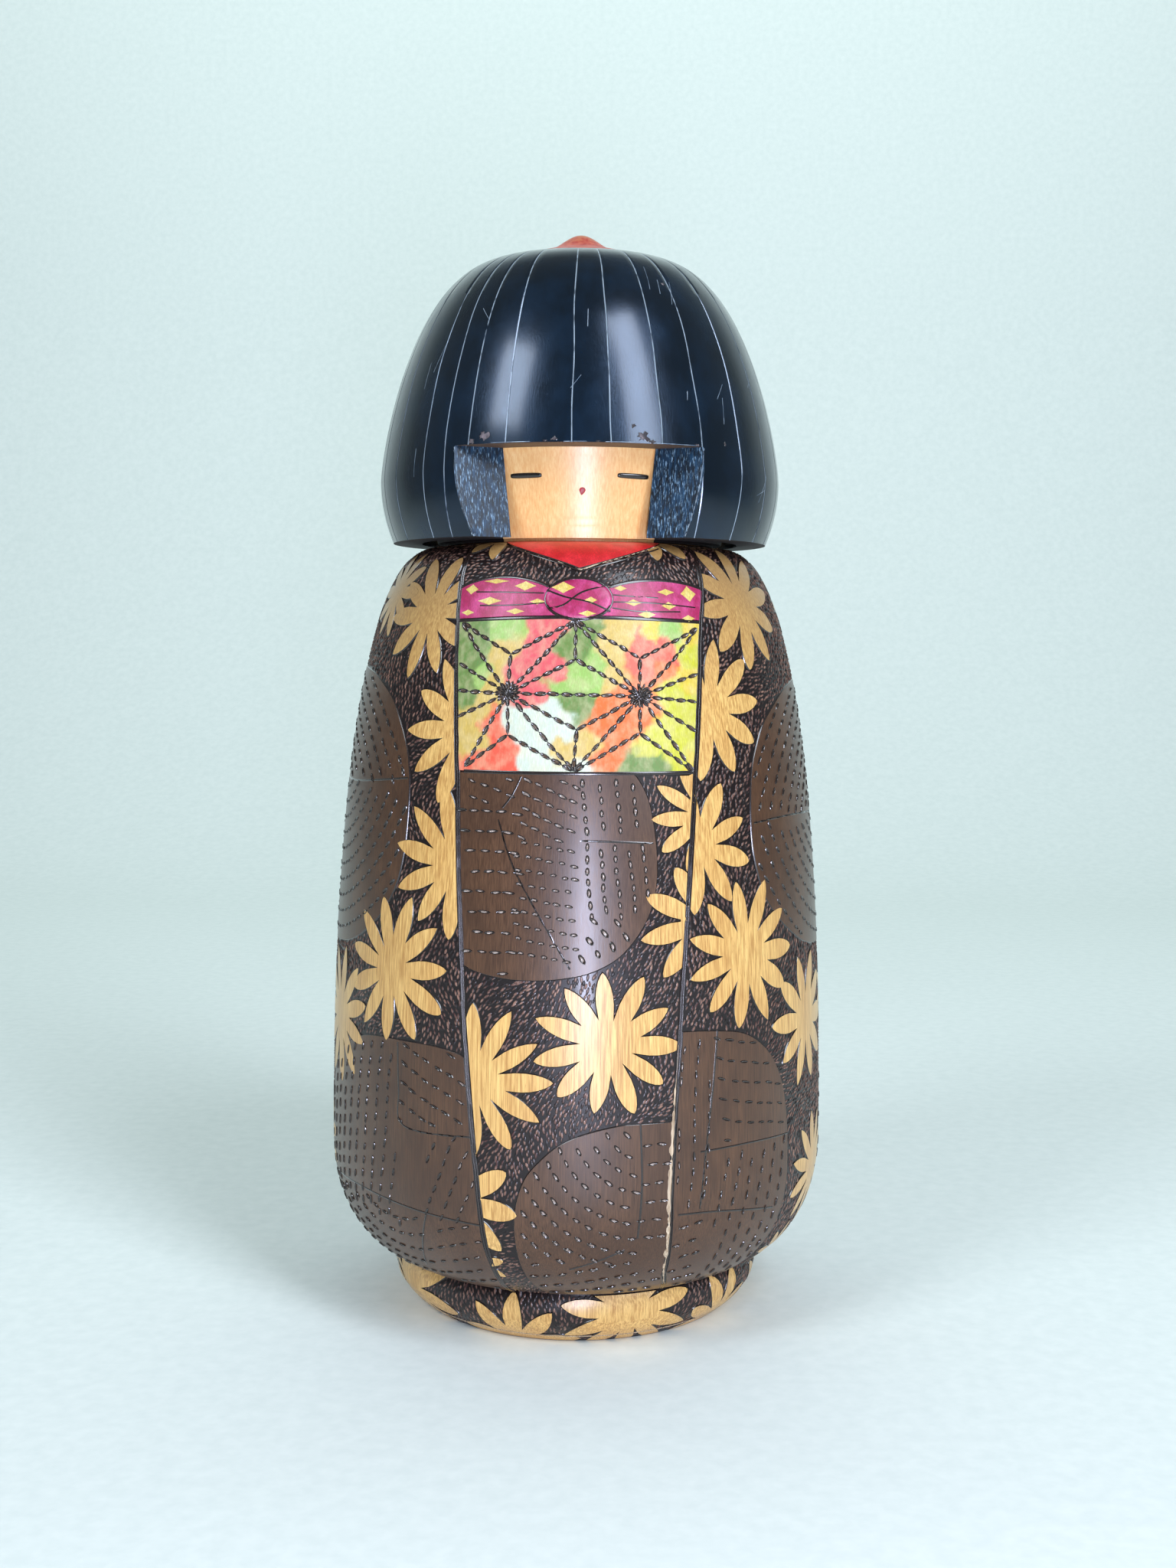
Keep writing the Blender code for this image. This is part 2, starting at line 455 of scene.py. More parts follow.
@dataclass(frozen=True)
class KnifeCutLacquer:
    """Lacquer over a knife-cut wall, with painted highlights: short pale flecks in the colour where the tool's small
    facets would catch the light.
    """

    name: str
    colour: str = "06131f"

    def build(self) -> Material:
        """Builds the material."""
        material, tree, shader = start_material(self.name)
        facets = grain(tree, 0.8 * MM, 5.0, 3.0)
        flecks = grain(tree, 0.35 * MM, 7.0, 2.0)
        colour = mix(tree, ramp(tree, facets, 0.42, 0.78), linear(self.colour), linear("1c4565"))
        # Painted highlight: pale flecks mixed into the colour.
        colour = mix(tree, ramp(tree, flecks, 0.56, 0.74), colour, linear("8fb2cc"))
        height = mix(tree, 0.5, facets, flecks)
        wire(
            tree,
            shader,
            {
                "Base Color": colour,
                "Roughness": 0.46,
                "IOR": 1.5,
                "Specular IOR Level": 0.35,
                "Coat Weight": 0.15,
                "Coat Roughness": 0.2,
                "Normal": bump(tree, height, 0.25 * MM, 0.9),
            },
        )
        return material


@dataclass(frozen=True)
class WornCrown:
    """Red stain on the crown: salmon where light has bleached it, bare and brown at the rubbed tip."""

    name: str
    tip: float  # height of the nub's tip
    base: float  # height of the disc's edge

    def build(self) -> Material:
        """Builds the material."""
        material, tree, shader = start_material(self.name)
        place = add(tree, "ShaderNodeTexCoord")
        height = add(tree, "ShaderNodeSeparateXYZ", links={0: place.outputs["Object"]}).outputs["Z"]
        cloudy = grain(tree, 2.2 * MM, 1.2, 3.0)
        red = mix(tree, ramp(tree, cloudy, 0.35, 0.65), linear("a8261c"), linear("cf5a42"))
        rubbed = add(
            tree,
            "ShaderNodeMath",
            {"operation": "MULTIPLY"},
            {0: ramp(tree, height, self.base, self.tip), 1: ramp(tree, cloudy, 0.25, 0.6)},
        ).outputs[0]
        colour = mix(tree, ramp(tree, rubbed, 0.25, 0.8), red, linear("b9754c"))
        wire(
            tree,
            shader,
            {
                "Base Color": colour,
                "Roughness": 0.46,
                "IOR": 1.5,
                "Coat Weight": 0.2,
                "Coat Roughness": 0.3,
                "Normal": bump(tree, cloudy, 0.08 * MM, 0.5),
            },
        )
        return material


class Palette:
    """Every finish of the doll, built once."""

    def __init__(self) -> None:
        """Builds the materials."""
        crown_top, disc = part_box("crown_cap")[1].z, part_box("hair_shell")[1].z
        # The blossoms turn browner above 207 mm, towards the head: partly old wax, partly painted shade.
        self.blossom = WaxedWood("waxed_wood_blossom", "e9c075", "b58545", 0.5 * MM, 0.38, 0.5, 0.25, 0.207).build()
        self.face = WaxedWood("waxed_wood_face", "f8cb8b", "edad6a", 0.45 * MM, 0.36, 0.4, 0.2).build()
        self.bare = WaxedWood("sanded_wood_bare", "c79a63", "9b6d3c", 0.5 * MM, 0.65, 0.0).build()
        # Painted shade: dark wood on the fringe's underside.
        self.shade_dark_wood = WaxedWood("painted_shade_dark_wood", "6f5842", "46362a", 0.5 * MM, 0.6, 0.0).build()
        self.peg = WaxedWood("beech_dowel_sanded", "d3a873", "b3854f", 0.5 * MM, 0.6, 0.0).build()
        # Pale bare wood; on the right seam's strip it also stands for a painted reflection.
        self.pale = WaxedWood("pale_sanded_wood", "dccab0", "8d7458", 0.3 * MM, 0.6, 0.0).build()
        self.chip = Stain("chipped_lacquer", "14161f", "8d8388", 0.6, 0.0).build()
        # Painted shade: flat black under the hair's rim and on the hidden neck ring.
        self.shade_black = Stain("painted_shade_black", "06080a", "101418", 0.7, 0.0).build()
        self.ground = BurntGround("burnt_wood_ground", "150a0b", "4a2c2a", "93705f").build()
        self.patch = StainedWood("walnut_stained_wood", "604028", "3a2213").build()
        self.hot_line = HotLine("burnt_line", "120c0d").build()
        self.stitch = HotLine("burnt_stitch", "1a1210", 0.2).build()
        # Painted highlight: the pale middle of the quilting dashes on the front.
        self.sheen_dish = HotLine("painted_sheen_dash", "9c8a80", 0.14).build()
        self.amber = HotLine("amber_scorch", "6b5340", 0.2).build()
        self.wash = ColourWash("water_colour_on_wood").build()
        self.collar = Stain("scarlet_stained_wood", "c20f1c", "df2531").build()
        self.magenta = Stain("magenta_stained_wood", "a81553", "cf4585").build()
        self.yellow = Stain("yellow_stained_wood", "d9bb55", "ead98c").build()
        self.lip = Stain("vermilion_paint", "a80f22", "c01a2c").build()
        self.enamel = HotLine("black_enamel_paint", "07080a", 0.12).build()
        self.lacquer = BlackLacquer("black_lacquer").build()
        self.cut_wall = KnifeCutLacquer("black_lacquer_knife_cut").build()
        # Pale lines on the hair: real scratches, and painted highlights along the window's edges and the fringe.
        self.scratch_and_edge_sheen = Stain("scratched_lacquer_and_painted_sheen", "5f7486", "a9b9c4", 0.35).build()
        self.crown = WornCrown("worn_red_stain", crown_top, disc + 2.5 * MM).build()


# ---------------------------------------------------------------- turned surfaces


def quarter_curve(start: Point, end: Point, rounding: Point, count: int) -> list[Point]:
    """A quarter superellipse, upright at its start and level at its end.

    Args:
        start: the first (radius, height).
        end: the last (radius, height).
        rounding: the exponents across and up.
        count: steps along it.

    Returns:
        The (radius, height) points.
    """
    points = []
    for i in range(count + 1):
        turn = 0.5 * math.pi * i / count
        width = max(math.cos(turn), 0.0) ** (2.0 / rounding[0])
        rise = math.sin(turn) ** (2.0 / rounding[1])
        points.append(
            (end[0] + (start[0] - end[0]) * width, start[1] + (end[1] - start[1]) * rise)
        )
    return points


@dataclass
class Turning:
    """A turned surface, known by its outline from the bottom up."""

    outline: list[Point]
    samples: int = 3000

    def __post_init__(self) -> None:
        """Tabulates the outline at even steps of its own length."""
        radii, heights = np.array(self.outline).T
        arcs = np.concatenate(([0.0], np.cumsum(np.hypot(np.diff(radii), np.diff(heights)))))
        self.length = float(arcs[-1])
        self.step = self.length / (self.samples - 1)
        even = np.linspace(0.0, self.length, self.samples)
        self.radii = np.interp(even, arcs, radii)
        self.heights = np.interp(even, arcs, heights)
        across, up = np.gradient(self.radii), np.gradient(self.heights)
        size = np.hypot(across, up)
        self.table = list(zip(self.radii, self.heights, up / size, -across / size))
        self.evens = even

    def arc(self, height: float) -> float:
        """The distance along the outline at which it reaches a height."""
        return float(np.interp(height, self.heights, self.evens))

    def sample(self, arc: float) -> tuple[float, float, float, float]:
        """Radius, height and outward direction (across, up) at a distance along the outline."""
        index = min(max(int(arc / self.step + 0.5), 0), self.samples - 1)
        return self.table[index]

    def radius(self, height: float) -> float:
        """The radius at a height."""
        return self.sample(self.arc(height))[0]

    def place(self, angle: float, arc: float, lift: float = 0.0) -> Vector:
        """A point on the surface.

        Args:
            angle: radians from the face's direction.
            arc: distance along the outline.
            lift: distance off the surface.

        Returns:
            The point.
        """
        inner = min(max(arc / self.step, 0.0), self.samples - 1.001)
        index = int(inner)
        share = inner - index
        low, high = self.table[index], self.table[index + 1]
        radius, height, across, up = (a + (b - a) * share for a, b in zip(low, high))
        reach = radius + across * lift
        return Vector((reach * math.sin(angle), -reach * math.cos(angle), height + up * lift))


def body_surface() -> Turning:
    """The kimono's turned surface, as the frame has it."""
    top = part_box("body")[1].z
    widest = (83.8 * MM, 60.0 * MM)
    hem = (60.5 * MM, 18.0 * MM)
    foot = []
    for i in range(25):
        share = i / 24.0
        bow = 4.0 * share * (1.0 - share)
        foot.append(((54.0 + (60.5 - 54.0) * share) * MM + 4.6 * MM * bow, 18.0 * MM * share))
    skirt = quarter_curve(widest, hem, (1.58, 2.60), 60)[::-1]
    shoulders = quarter_curve(widest, (46.0 * MM, top), (2.68, 2.00), 120)
    return Turning(foot + skirt[1:] + shoulders[1:])


def face_surface() -> Turning:
    """The face: a slight cone from chin to brow."""
    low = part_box("hair_shell")[0].z
    return Turning([(48.0 * MM, low), (53.0 * MM, low + 27.8 * MM)], 200)


def hair_surface() -> Turning:
    """The outside of the bell of hair, rim to crown."""
    low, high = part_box("hair_shell")
    widest = low.z + 20.3 * MM
    skirt = []
    for i in range(16):
        height = low.z + 20.3 * MM * i / 16.0
        below = (widest - height) / (20.3 * MM)
        skirt.append((67.1 * MM - 4.2 * MM * below**2, height))
    dome = quarter_curve((67.1 * MM, widest), (20.5 * MM, high.z), (2.55, 1.37), 80)
    return Turning(skirt + dome)


# ---------------------------------------------------------------- mesh tools


def finish_piece(
    name: str, mesh_in: BMesh, materials: Sequence[Material], body: str, sharp: float = 30.0
) -> Object:
    """Makes an object of a bmesh and lets it ride on its body.

    Args:
        name: the piece's name.
        mesh_in: its finished mesh, in place; it is freed.
        materials: its materials in slot order.
        body: the body it rides on.
        sharp: edges over this many degrees stay sharp.

    Returns:
        The object.
    """
    mesh = bpy.data.meshes.new(name)
    mesh_in.to_mesh(mesh)
    mesh_in.free()
    for material in materials:
        mesh.materials.append(material)
    mesh.shade_smooth()
    mesh.set_sharp_from_angle(angle=math.radians(sharp))
    piece = bpy.data.objects.new(name, mesh)
    bpy.context.scene.collection.objects.link(piece)
    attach(piece, body)
    triangles = sum(len(face.vertices) - 2 for face in mesh.polygons)
    log.info("%-24s %7d triangles on %s", name, triangles, body)
    return piece


def spin_outline(mesh: BMesh, outline: Sequence[Point], steps: int) -> None:
    """Spins a (radius, height) outline all the way round Z and closes its seam and poles.

    Args:
        mesh: the bmesh that receives it.
        outline: the points, in order.
        steps: columns round the axis.
    """
    chain = [mesh.verts.new((radius, 0.0, height)) for radius, height in outline]
    edges = [mesh.edges.new(pair) for pair in zip(chain, chain[1:])]
    bmesh.ops.spin(
        mesh,
        geom=chain + edges,
        cent=(0.0, 0.0, 0.0),
        axis=(0.0, 0.0, 1.0),
        dvec=(0.0, 0.0, 0.0),
        angle=2.0 * math.pi,
        steps=steps,
        use_merge=True,
        use_normal_flip=False,
        use_duplicate=False,
    )
    bmesh.ops.remove_doubles(mesh, verts=mesh.verts[:], dist=1e-6)
    bmesh.ops.recalc_face_normals(mesh, faces=mesh.faces[:])


def flat_face(mesh: BMesh, outline: Sequence[Point]) -> BMFace:
    """A flat face from a closed outline: a circle whose points are moved to it.

    Args:
        mesh: the bmesh that receives it.
        outline: its (x, y) points in order.

    Returns:
        The face, looking up.
    """
    ring = bmesh.ops.create_circle(mesh, cap_ends=True, segments=len(outline), radius=1.0)["verts"]
    face = ring[0].link_faces[0]
    for loop, (x, y) in zip(list(face.loops), outline):
        loop.vert.co = (x, y, 0.0)
    face.normal_update()
    if face.normal.z < 0.0:
        bmesh.ops.reverse_faces(mesh, faces=[face])
    return face


def cut(mesh: BMesh, place: Vector, normal: Vector, clear: bool = False) -> None:
    """Cuts the whole mesh by a plane, and clears what is on the normal's side if asked."""
    everything = mesh.verts[:] + mesh.edges[:] + mesh.faces[:]
    bmesh.ops.bisect_plane(
        mesh, geom=everything, dist=1e-8, plane_co=place, plane_no=normal, clear_outer=clear
    )


def raise_plates(mesh: BMesh, height: float, side: float) -> None:
    """Gives each flat face a sloped side with a rounded shoulder, so that it stands up as a plate.

    Args:
        mesh: a bmesh of flat faces at the floor; the sides get the second material.
        height: how far the plates stand up.
        side: how far the side slopes in.
    """
    for share, rise in ((0.6, 0.72), (0.4, 0.28)):
        tops = [face for face in mesh.faces if face.normal.z > 0.95]
        ring = bmesh.ops.inset_individual(
            mesh, faces=tops, thickness=side * share, depth=0.0, use_even_offset=True
        )["faces"]
        for face in ring:
            face.material_index = 1
        for vert in {vert for face in tops for vert in face.verts}:
            vert.co.z += height * rise
        for face in mesh.faces:
            face.normal_update()


def bend_lines(mesh: BMesh, spacing: float) -> None:
    """Cuts the mesh along upright and level lines, so that it can bend round the turning."""
    low_x, high_x = min(v.co.x for v in mesh.verts), max(v.co.x for v in mesh.verts)
    low_y, high_y = min(v.co.y for v in mesh.verts), max(v.co.y for v in mesh.verts)
    for i in range(int((high_x - low_x) / spacing)):
        cut(mesh, Vector((low_x + spacing * (i + 0.5), 0.0, 0.0)), Vector((1.0, 0.0, 0.0)))
    rows = spacing * 1.6
    for i in range(int((high_y - low_y) / rows)):
        cut(mesh, Vector((0.0, low_y + rows * (i + 0.5), 0.0)), Vector((0.0, 1.0, 0.0)))


def wrap(verts: Iterable[BMVert], surface: Turning, angle: float, height: float, lift: float) -> None:
    """Lays flat points on a turning: x runs round it, y up its outline and z off it.

    Args:
        verts: the points, moved in place.
        surface: the turning.
        angle: degrees at which x is 0.
        height: height at which y is 0.
        lift: added to z.
    """
    start = surface.arc(height)
    turn = math.radians(angle)
    for vert in verts:
        x, y, z = vert.co
        arc = start + y
        radius = surface.sample(arc)[0]
        vert.co = surface.place(turn + x / radius, arc, z + lift)


def scatter(
    name: str,
    template: BMesh,
    spots: Sequence[tuple[float, float, float, float, float, float]],
    surface: Turning,
    lift: float,
    tints: Sequence[float] | None = None,
) -> BMesh:
    """Copies a small shape to many places on a turning.

    Args:
        name: name of the template's mesh while it is copied.
        template: the shape, 1 by 1 in x and y and with its real height in z; it is freed.
        spots: angle in radians, arc, turn in radians, length, width and height factor of each copy.
        surface: the turning.
        lift: how far off the surface the shape's z of 0 lies.
        tints: a value for each copy, kept as the "tint" attribute of its top.

    Returns:
        A bmesh with all the copies, wrapped.
    """
    size = len(template.verts)
    source = bpy.data.meshes.new(name + "_template")
    template.to_mesh(source)
    template.free()
    mesh = bmesh.new()
    for _ in spots:
        mesh.from_mesh(source)
    bpy.data.meshes.remove(source)
    layer = mesh.verts.layers.float.new("tint") if tints is not None else None
    for index, vert in enumerate(mesh.verts):
        angle, arc, turn, length, width, tall = spots[index // size]
        top = vert.co.z > 0.5
        x, y, z = vert.co.x * length, vert.co.y * width, vert.co.z * tall
        across = x * math.cos(turn) - y * math.sin(turn)
        up = x * math.sin(turn) + y * math.cos(turn)
        radius = surface.sample(arc + up)[0]
        vert.co = surface.place(angle + across / radius, arc + up, z + lift)
        if layer is not None:
            vert[layer] = tints[index // size] if top else 0.0
    return mesh


def grain_template() -> BMesh:
    """A burnt grain: a six-sided seed with a raised middle, 1 by 1."""
    mesh = bmesh.new()
    ring = bmesh.ops.create_circle(mesh, cap_ends=True, segments=6, radius=0.5)["verts"]
    middle = bmesh.ops.poke(mesh, faces=mesh.faces[:])["verts"]
    for vert in ring:
        vert.co.z = 0.0
    for vert in middle:
        vert.co.z = 1.0
    for face in mesh.faces:
        face.normal_update()
    if sum(face.normal.z for face in mesh.faces) < 0.0:
        bmesh.ops.reverse_faces(mesh, faces=mesh.faces[:])
    return mesh


def stitch_template(height: float) -> BMesh:
    """A burnt dash, 1 by 1: a lip pushed up round a dished middle; the middle is the second material.

    Args:
        height: the lip's height in metres.

    Returns:
        The shape.
    """
    mesh = bmesh.new()
    bmesh.ops.create_circle(mesh, cap_ends=True, segments=8, radius=0.5)
    face = mesh.faces[:][0]
    if face.normal.z < 0.0:
        bmesh.ops.reverse_faces(mesh, faces=[face])
    for thickness, level in ((0.09, 1.0), (0.15, 0.12)):
        bmesh.ops.inset_individual(mesh, faces=[face], thickness=thickness, use_even_offset=True)
        for vert in face.verts:
            vert.co.z = level * height
    face.material_index = 1
    return mesh


def ribbon(
    surface: Turning,
    path: Sequence[tuple[float, float]],
    section: Sequence[Point],
    mesh: BMesh,
    swell: Callable[[float], float] = lambda share: 1.0,
) -> None:
    """Sweeps a small section along a path on a turning.

    Args:
        surface: the turning.
        path: (angle in radians, arc) points.
        section: (offset to the side, lift) points, from left to right of the way.
        mesh: the bmesh that receives it.
        swell: how wide it is at a share of its length, 1 being as wide as the section.
    """
    count, wide = len(path), len(section)
    grid = bmesh.ops.create_grid(mesh, x_segments=wide - 1, y_segments=count - 1, size=0.5)["verts"]
    order = sorted(grid, key=lambda vert: (round(vert.co.y * (count - 1)), vert.co.x))
    for row in range(count):
        angle, arc = path[row]
        before, after = path[max(row - 1, 0)], path[min(row + 1, count - 1)]
        radius = surface.sample(arc)[0]
        run = Vector(((after[0] - before[0]) * radius, after[1] - before[1]))
        run = run.normalized() if run.length > 0.0 else Vector((0.0, 1.0))
        for column in range(wide):
            side, lift = section[column]
            side *= swell(row / (count - 1))
            across, up = side * run.y, -side * run.x
            vert = order[row * wide + column]
            vert.co = surface.place(angle + across / radius, arc + up, lift)


def smooth_path(points: Sequence[Point], surface: Turning, spacing: float) -> list[tuple[float, float]]:
    """A soft curve through (angle in degrees, height in mm) points.

    Args:
        points: the points that it passes.
        surface: the turning it lies on.
        spacing: rough distance between its steps.

    Returns:
        (angle in radians, arc) points along it.
    """
    marks = [(math.radians(a), surface.arc(h * MM)) for a, h in points]
    if len(marks) == 2:
        marks = [marks[0], tuple((a + b) / 2 for a, b in zip(*marks)), marks[1]]
    path = []
    for i in range(len(marks) - 1):
        p0, p1 = marks[max(i - 1, 0)], marks[i]
        p2, p3 = marks[i + 1], marks[min(i + 2, len(marks) - 1)]
        radius = surface.sample(p1[1])[0]
        run = math.hypot((p2[0] - p1[0]) * radius, p2[1] - p1[1])
        steps = max(int(run / spacing), 1)
        for j in range(steps):
            t = j / steps
            path.append(
                tuple(
                    0.5
                    * (
                        2 * b
                        + (c - a) * t
                        + (2 * a - 5 * b + 4 * c - d) * t * t
                        + (3 * b - a - 3 * c + d) * t**3
                    )
                    for a, b, c, d in zip(p0, p1, p2, p3)
                )
            )
    path.append(marks[-1])
    return path


# ---------------------------------------------------------------- the kimono's pattern


class Panel(Enum):
    """Which side of the two long seams a shape lies on."""

    FRONT = "between the seams"
    OUTER = "round the sides and back"
    FOOT = "round the foot, below both seams"


@dataclass(frozen=True)
class Seam:
    """A long burnt seam down the kimono, as (height in mm, degrees), from the bottom up."""

    points: tuple[Point, ...]

    def angle(self, height: float) -> float:
        """Its angle in degrees at a height in metres."""
        heights, angles = zip(*self.points)
        return float(np.interp(height / MM, heights, angles))


LEFT_SEAM = Seam(
    (
        (18.5, -17.6), (25.0, -18.2), (32.0, -18.9), (39.0, -19.7), (53.0, -20.4), (74.0, -22.0),
        (105.0, -24.1), (137.0, -25.7), (156.0, -26.8), (178.0, -27.9), (201.0, -29.7),
        (225.0, -32.3), (234.0, -33.6), (246.0, -35.8), (255.0, -38.5),
    )
)  # fmt: skip
RIGHT_SEAM = Seam(
    (
        (18.5, 25.5), (22.0, 23.8), (28.0, 21.6), (39.0, 21.0), (55.0, 20.6), (87.0, 21.7),
        (121.0, 23.5), (151.0, 25.3), (180.0, 27.6), (201.0, 29.5), (226.0, 32.9),
        (240.0, 36.6), (247.0, 38.2), (255.0, 41.0),
    )
)  # fmt: skip
SEAM_GAP = 0.60 * MM  # half the groove that a seam leaves between two plates


def seam_shift(seam: Seam, surface: Turning, angle: float, height: float) -> Callable[[float], float]:
    """How far a flat point's x must move to be counted from a seam instead of from its own centre.

    Args:
        seam: the seam.
        surface: the turning.
        angle: degrees of the shape's centre.
        height: height of the shape's centre.

    Returns:
        A function of the flat y.
    """
    start = surface.arc(height)

    def shift(y: float) -> float:
        radius, level, _, _ = surface.sample(start + y)
        return math.radians(angle - seam.angle(level)) * radius

    return shift


def inside_panel(panel: Panel, angle: float, height: float, margin: float, radius: float) -> bool:
    """Whether a place is on a panel, at least a margin off its seams."""
    if panel is Panel.FOOT:
        return True
    slack = math.degrees(margin / radius)
    left, right = LEFT_SEAM.angle(height), RIGHT_SEAM.angle(height)
    if panel is Panel.FRONT:
        return left + slack < angle < right - slack
    return angle < left - slack or angle > right + slack


def turn_between(angle: float, other: float) -> float:
    """The signed difference of two angles in degrees, from -180 to 180."""
    return (angle - other + 180.0) % 360.0 - 180.0


@dataclass(frozen=True)
class Blossom:
    """A cut blossom left at the old surface: pointed petals round an undivided middle."""

    angle: float
    height: float  # mm
    radius: float  # mm
    petals: int = 11
    first: float = 0.0  # degrees of one petal, clockwise from straight up
    panel: Panel = Panel.OUTER
    low: float = 0.0  # mm, nothing below
    high: float = 300.0

    def reach(self, turn: float) -> float:
        """The outline's distance from the middle, in metres, for an angle clockwise from up in degrees."""
        spacing = 360.0 / self.petals
        count = (turn - self.first) / spacing
        petal = math.floor(count + 0.5)
        share = min(abs(count - petal) * 2.0, 1.0)
        own = random.Random(int(self.angle * 10) * 977 + int(self.height) * 31 + petal % self.petals)
        length = 0.97 + 0.12 * (own.random() - 0.5)
        fullness = 1.35 + 0.5 * (own.random() - 0.5)
        gap = random.Random(int(self.angle * 10) * 613 + math.floor(count) % self.petals)
        notch = 0.43 + 0.14 * (gap.random() - 0.5)
        return self.radius * MM * (notch + (length - notch) * (1.0 - share**fullness) ** 0.88)

    def covers(self, surface: Turning, angle: float, arc: float, height: float, margin: float) -> bool:
        """Whether a place on the kimono is within the outline and a margin round it."""
        if not self.low * MM < height < self.high * MM:
            return False
        radius = surface.sample(arc)[0]
        across = math.radians(turn_between(angle, self.angle)) * radius
        up = arc - surface.arc(self.height * MM)
        distance = math.hypot(across, up)
        if distance > self.radius * MM * 1.05 + margin:
            return False
        if not inside_panel(self.panel, angle, height, 0.0, radius):
            return False
        return distance < self.reach(math.degrees(math.atan2(across, up))) + margin

    def build(self, mesh: BMesh, surface: Turning) -> None:
        """Adds the blossom's plate to a mesh."""
        flat = bmesh.new()
        outline = []
        steps = 12
        for i in range(self.petals * steps):
            turn = self.first + 360.0 / self.petals * (i / steps)
            reach = self.reach(turn)
            outline.append(
                (reach * math.sin(math.radians(turn)), reach * math.cos(math.radians(turn)))
            )
        flat_face(flat, outline[::-1])
        centre = self.height * MM
        seams = []
        if self.panel is Panel.FRONT:
            seams = [(LEFT_SEAM, -1.0), (RIGHT_SEAM, 1.0)]
        elif self.panel is Panel.OUTER and -90.0 < self.angle < 0.0:
            seams = [(LEFT_SEAM, 1.0)]
        elif self.panel is Panel.OUTER and 0.0 < self.angle < 90.0:
            seams = [(RIGHT_SEAM, -1.0)]
        for seam, side in seams:
            shift = seam_shift(seam, surface, self.angle, centre)
            for vert in flat.verts:
                vert.co.x += shift(vert.co.y)
            cut(flat, Vector((-side * SEAM_GAP, 0.0, 0.0)), Vector((side, 0.0, 0.0)), clear=True)
            for vert in flat.verts:
                vert.co.x -= shift(vert.co.y)
        start = surface.arc(centre)
        for level, side in ((self.low, -1.0), (self.high, 1.0)):
            edge = surface.arc(level * MM) - start
            if abs(edge) < self.radius * MM:
                cut(flat, Vector((0.0, edge, 0.0)), Vector((0.0, side, 0.0)), clear=True)
        if not flat.faces:
            flat.free()
            return
        raise_plates(flat, -FLOOR + 0.04 * MM, 0.30 * MM)
        bend_lines(flat, 3.0 * MM)
        wrap(flat.verts, surface, self.angle, centre, FLOOR)
        join(mesh, flat)


def join(mesh: BMesh, part: BMesh) -> None:
    """Adds one bmesh to another and frees it."""
    carrier = bpy.data.meshes.new("carrier")
    part.to_mesh(carrier)
    part.free()
    mesh.from_mesh(carrier)
    bpy.data.meshes.remove(carrier)


class Rows(Enum):
    """How the dashes of one quilted field run."""

    STRAIGHT = "in straight rows"
    ARCS = "in arcs round a point"


@dataclass(frozen=True)
class Quilting:
    """One field of dashes in a patch."""

    rows: Rows
    angles: Point  # degrees, from and to
    heights: Point  # mm, from and to
    tilt: float = 0.0  # degrees of the rows, or of nothing for arcs
    centre: Point = (0.0, 0.0)  # of the arcs: degrees and mm
    spacing: float = 5.5  # mm between rows
    pitch: float = 5.0  # mm along a row
    length: float = 3.0
    width: float = 0.95


@dataclass(frozen=True)
class Patch:
    """A smooth stained patch: a superellipse on the kimono, trimmed by the seams, sash and hem."""

    angle: float
    height: float
    half_angle: float
    half_height: float
    power: float
    low: float
    high: float
    panel: Panel
    quilting: tuple[Quilting, ...] = ()
    lines: tuple[tuple[Point, ...], ...] = ()  # thin engraved joins between the fields

    def depth(self, surface: Turning, angle: float, height: float) -> float:
        """How far inside the patch a place is, in metres; negative outside."""
        radius = surface.radius(height)
        across = abs(turn_between(angle, self.angle)) / self.half_angle
        up = abs(height / MM - self.height) / self.half_height
        size = (across**self.power + up**self.power) ** (1.0 / self.power)
        reach = min(math.radians(self.half_angle) * radius, self.half_height * MM)
        inner = (1.0 - size) * reach
        inner = min(inner, height - self.low * MM, self.high * MM - height)
        left = math.radians(angle - LEFT_SEAM.angle(height)) * radius
        right = math.radians(RIGHT_SEAM.angle(height) - angle) * radius
        if self.panel is Panel.FRONT:
            return min(inner, left, right)
        return min(inner, max(-left, -right))

    def build(self, mesh: BMesh, surface: Turning) -> None:
        """Adds the patch's plate to a mesh."""
        flat = bmesh.new()
        centre, count = self.height * MM, 132
        start = surface.arc(centre)
        outline = []
        for i in range(count):
            turn = 2.0 * math.pi * i / count
            cos, sin = math.cos(turn), math.sin(turn)
            across = self.half_angle * math.copysign(abs(cos) ** (2.0 / self.power), cos)
            up = self.half_height * math.copysign(abs(sin) ** (2.0 / self.power), sin)
            wobble = 1.0 + 0.012 * noise.noise(Vector((3.0 * cos, 3.0 * sin, self.angle)))
            height = min(max(self.height + up * wobble, self.low), self.high) * MM
            angle = self.angle + across * wobble
            radius = surface.radius(height)
            gap = math.degrees(SEAM_GAP / radius)
            left, right = LEFT_SEAM.angle(height), RIGHT_SEAM.angle(height)
            if self.panel is Panel.FRONT:
                angle = min(max(angle, left + gap), right - gap)
            elif self.panel is Panel.OUTER and -90.0 < self.angle < 0.0:
                angle = min(angle, left - gap)
            elif self.panel is Panel.OUTER and 0.0 < self.angle < 90.0:
                angle = max(angle, right + gap)
            outline.append((math.radians(angle - self.angle) * radius, surface.arc(height) - start))
        flat_face(flat, outline)
        bmesh.ops.remove_doubles(flat, verts=flat.verts[:], dist=0.12 * MM)
        raise_plates(flat, -FLOOR, 0.35 * MM)
        bend_lines(flat, 3.0 * MM)
        wrap(flat.verts, surface, self.angle, centre, FLOOR)
        join(mesh, flat)


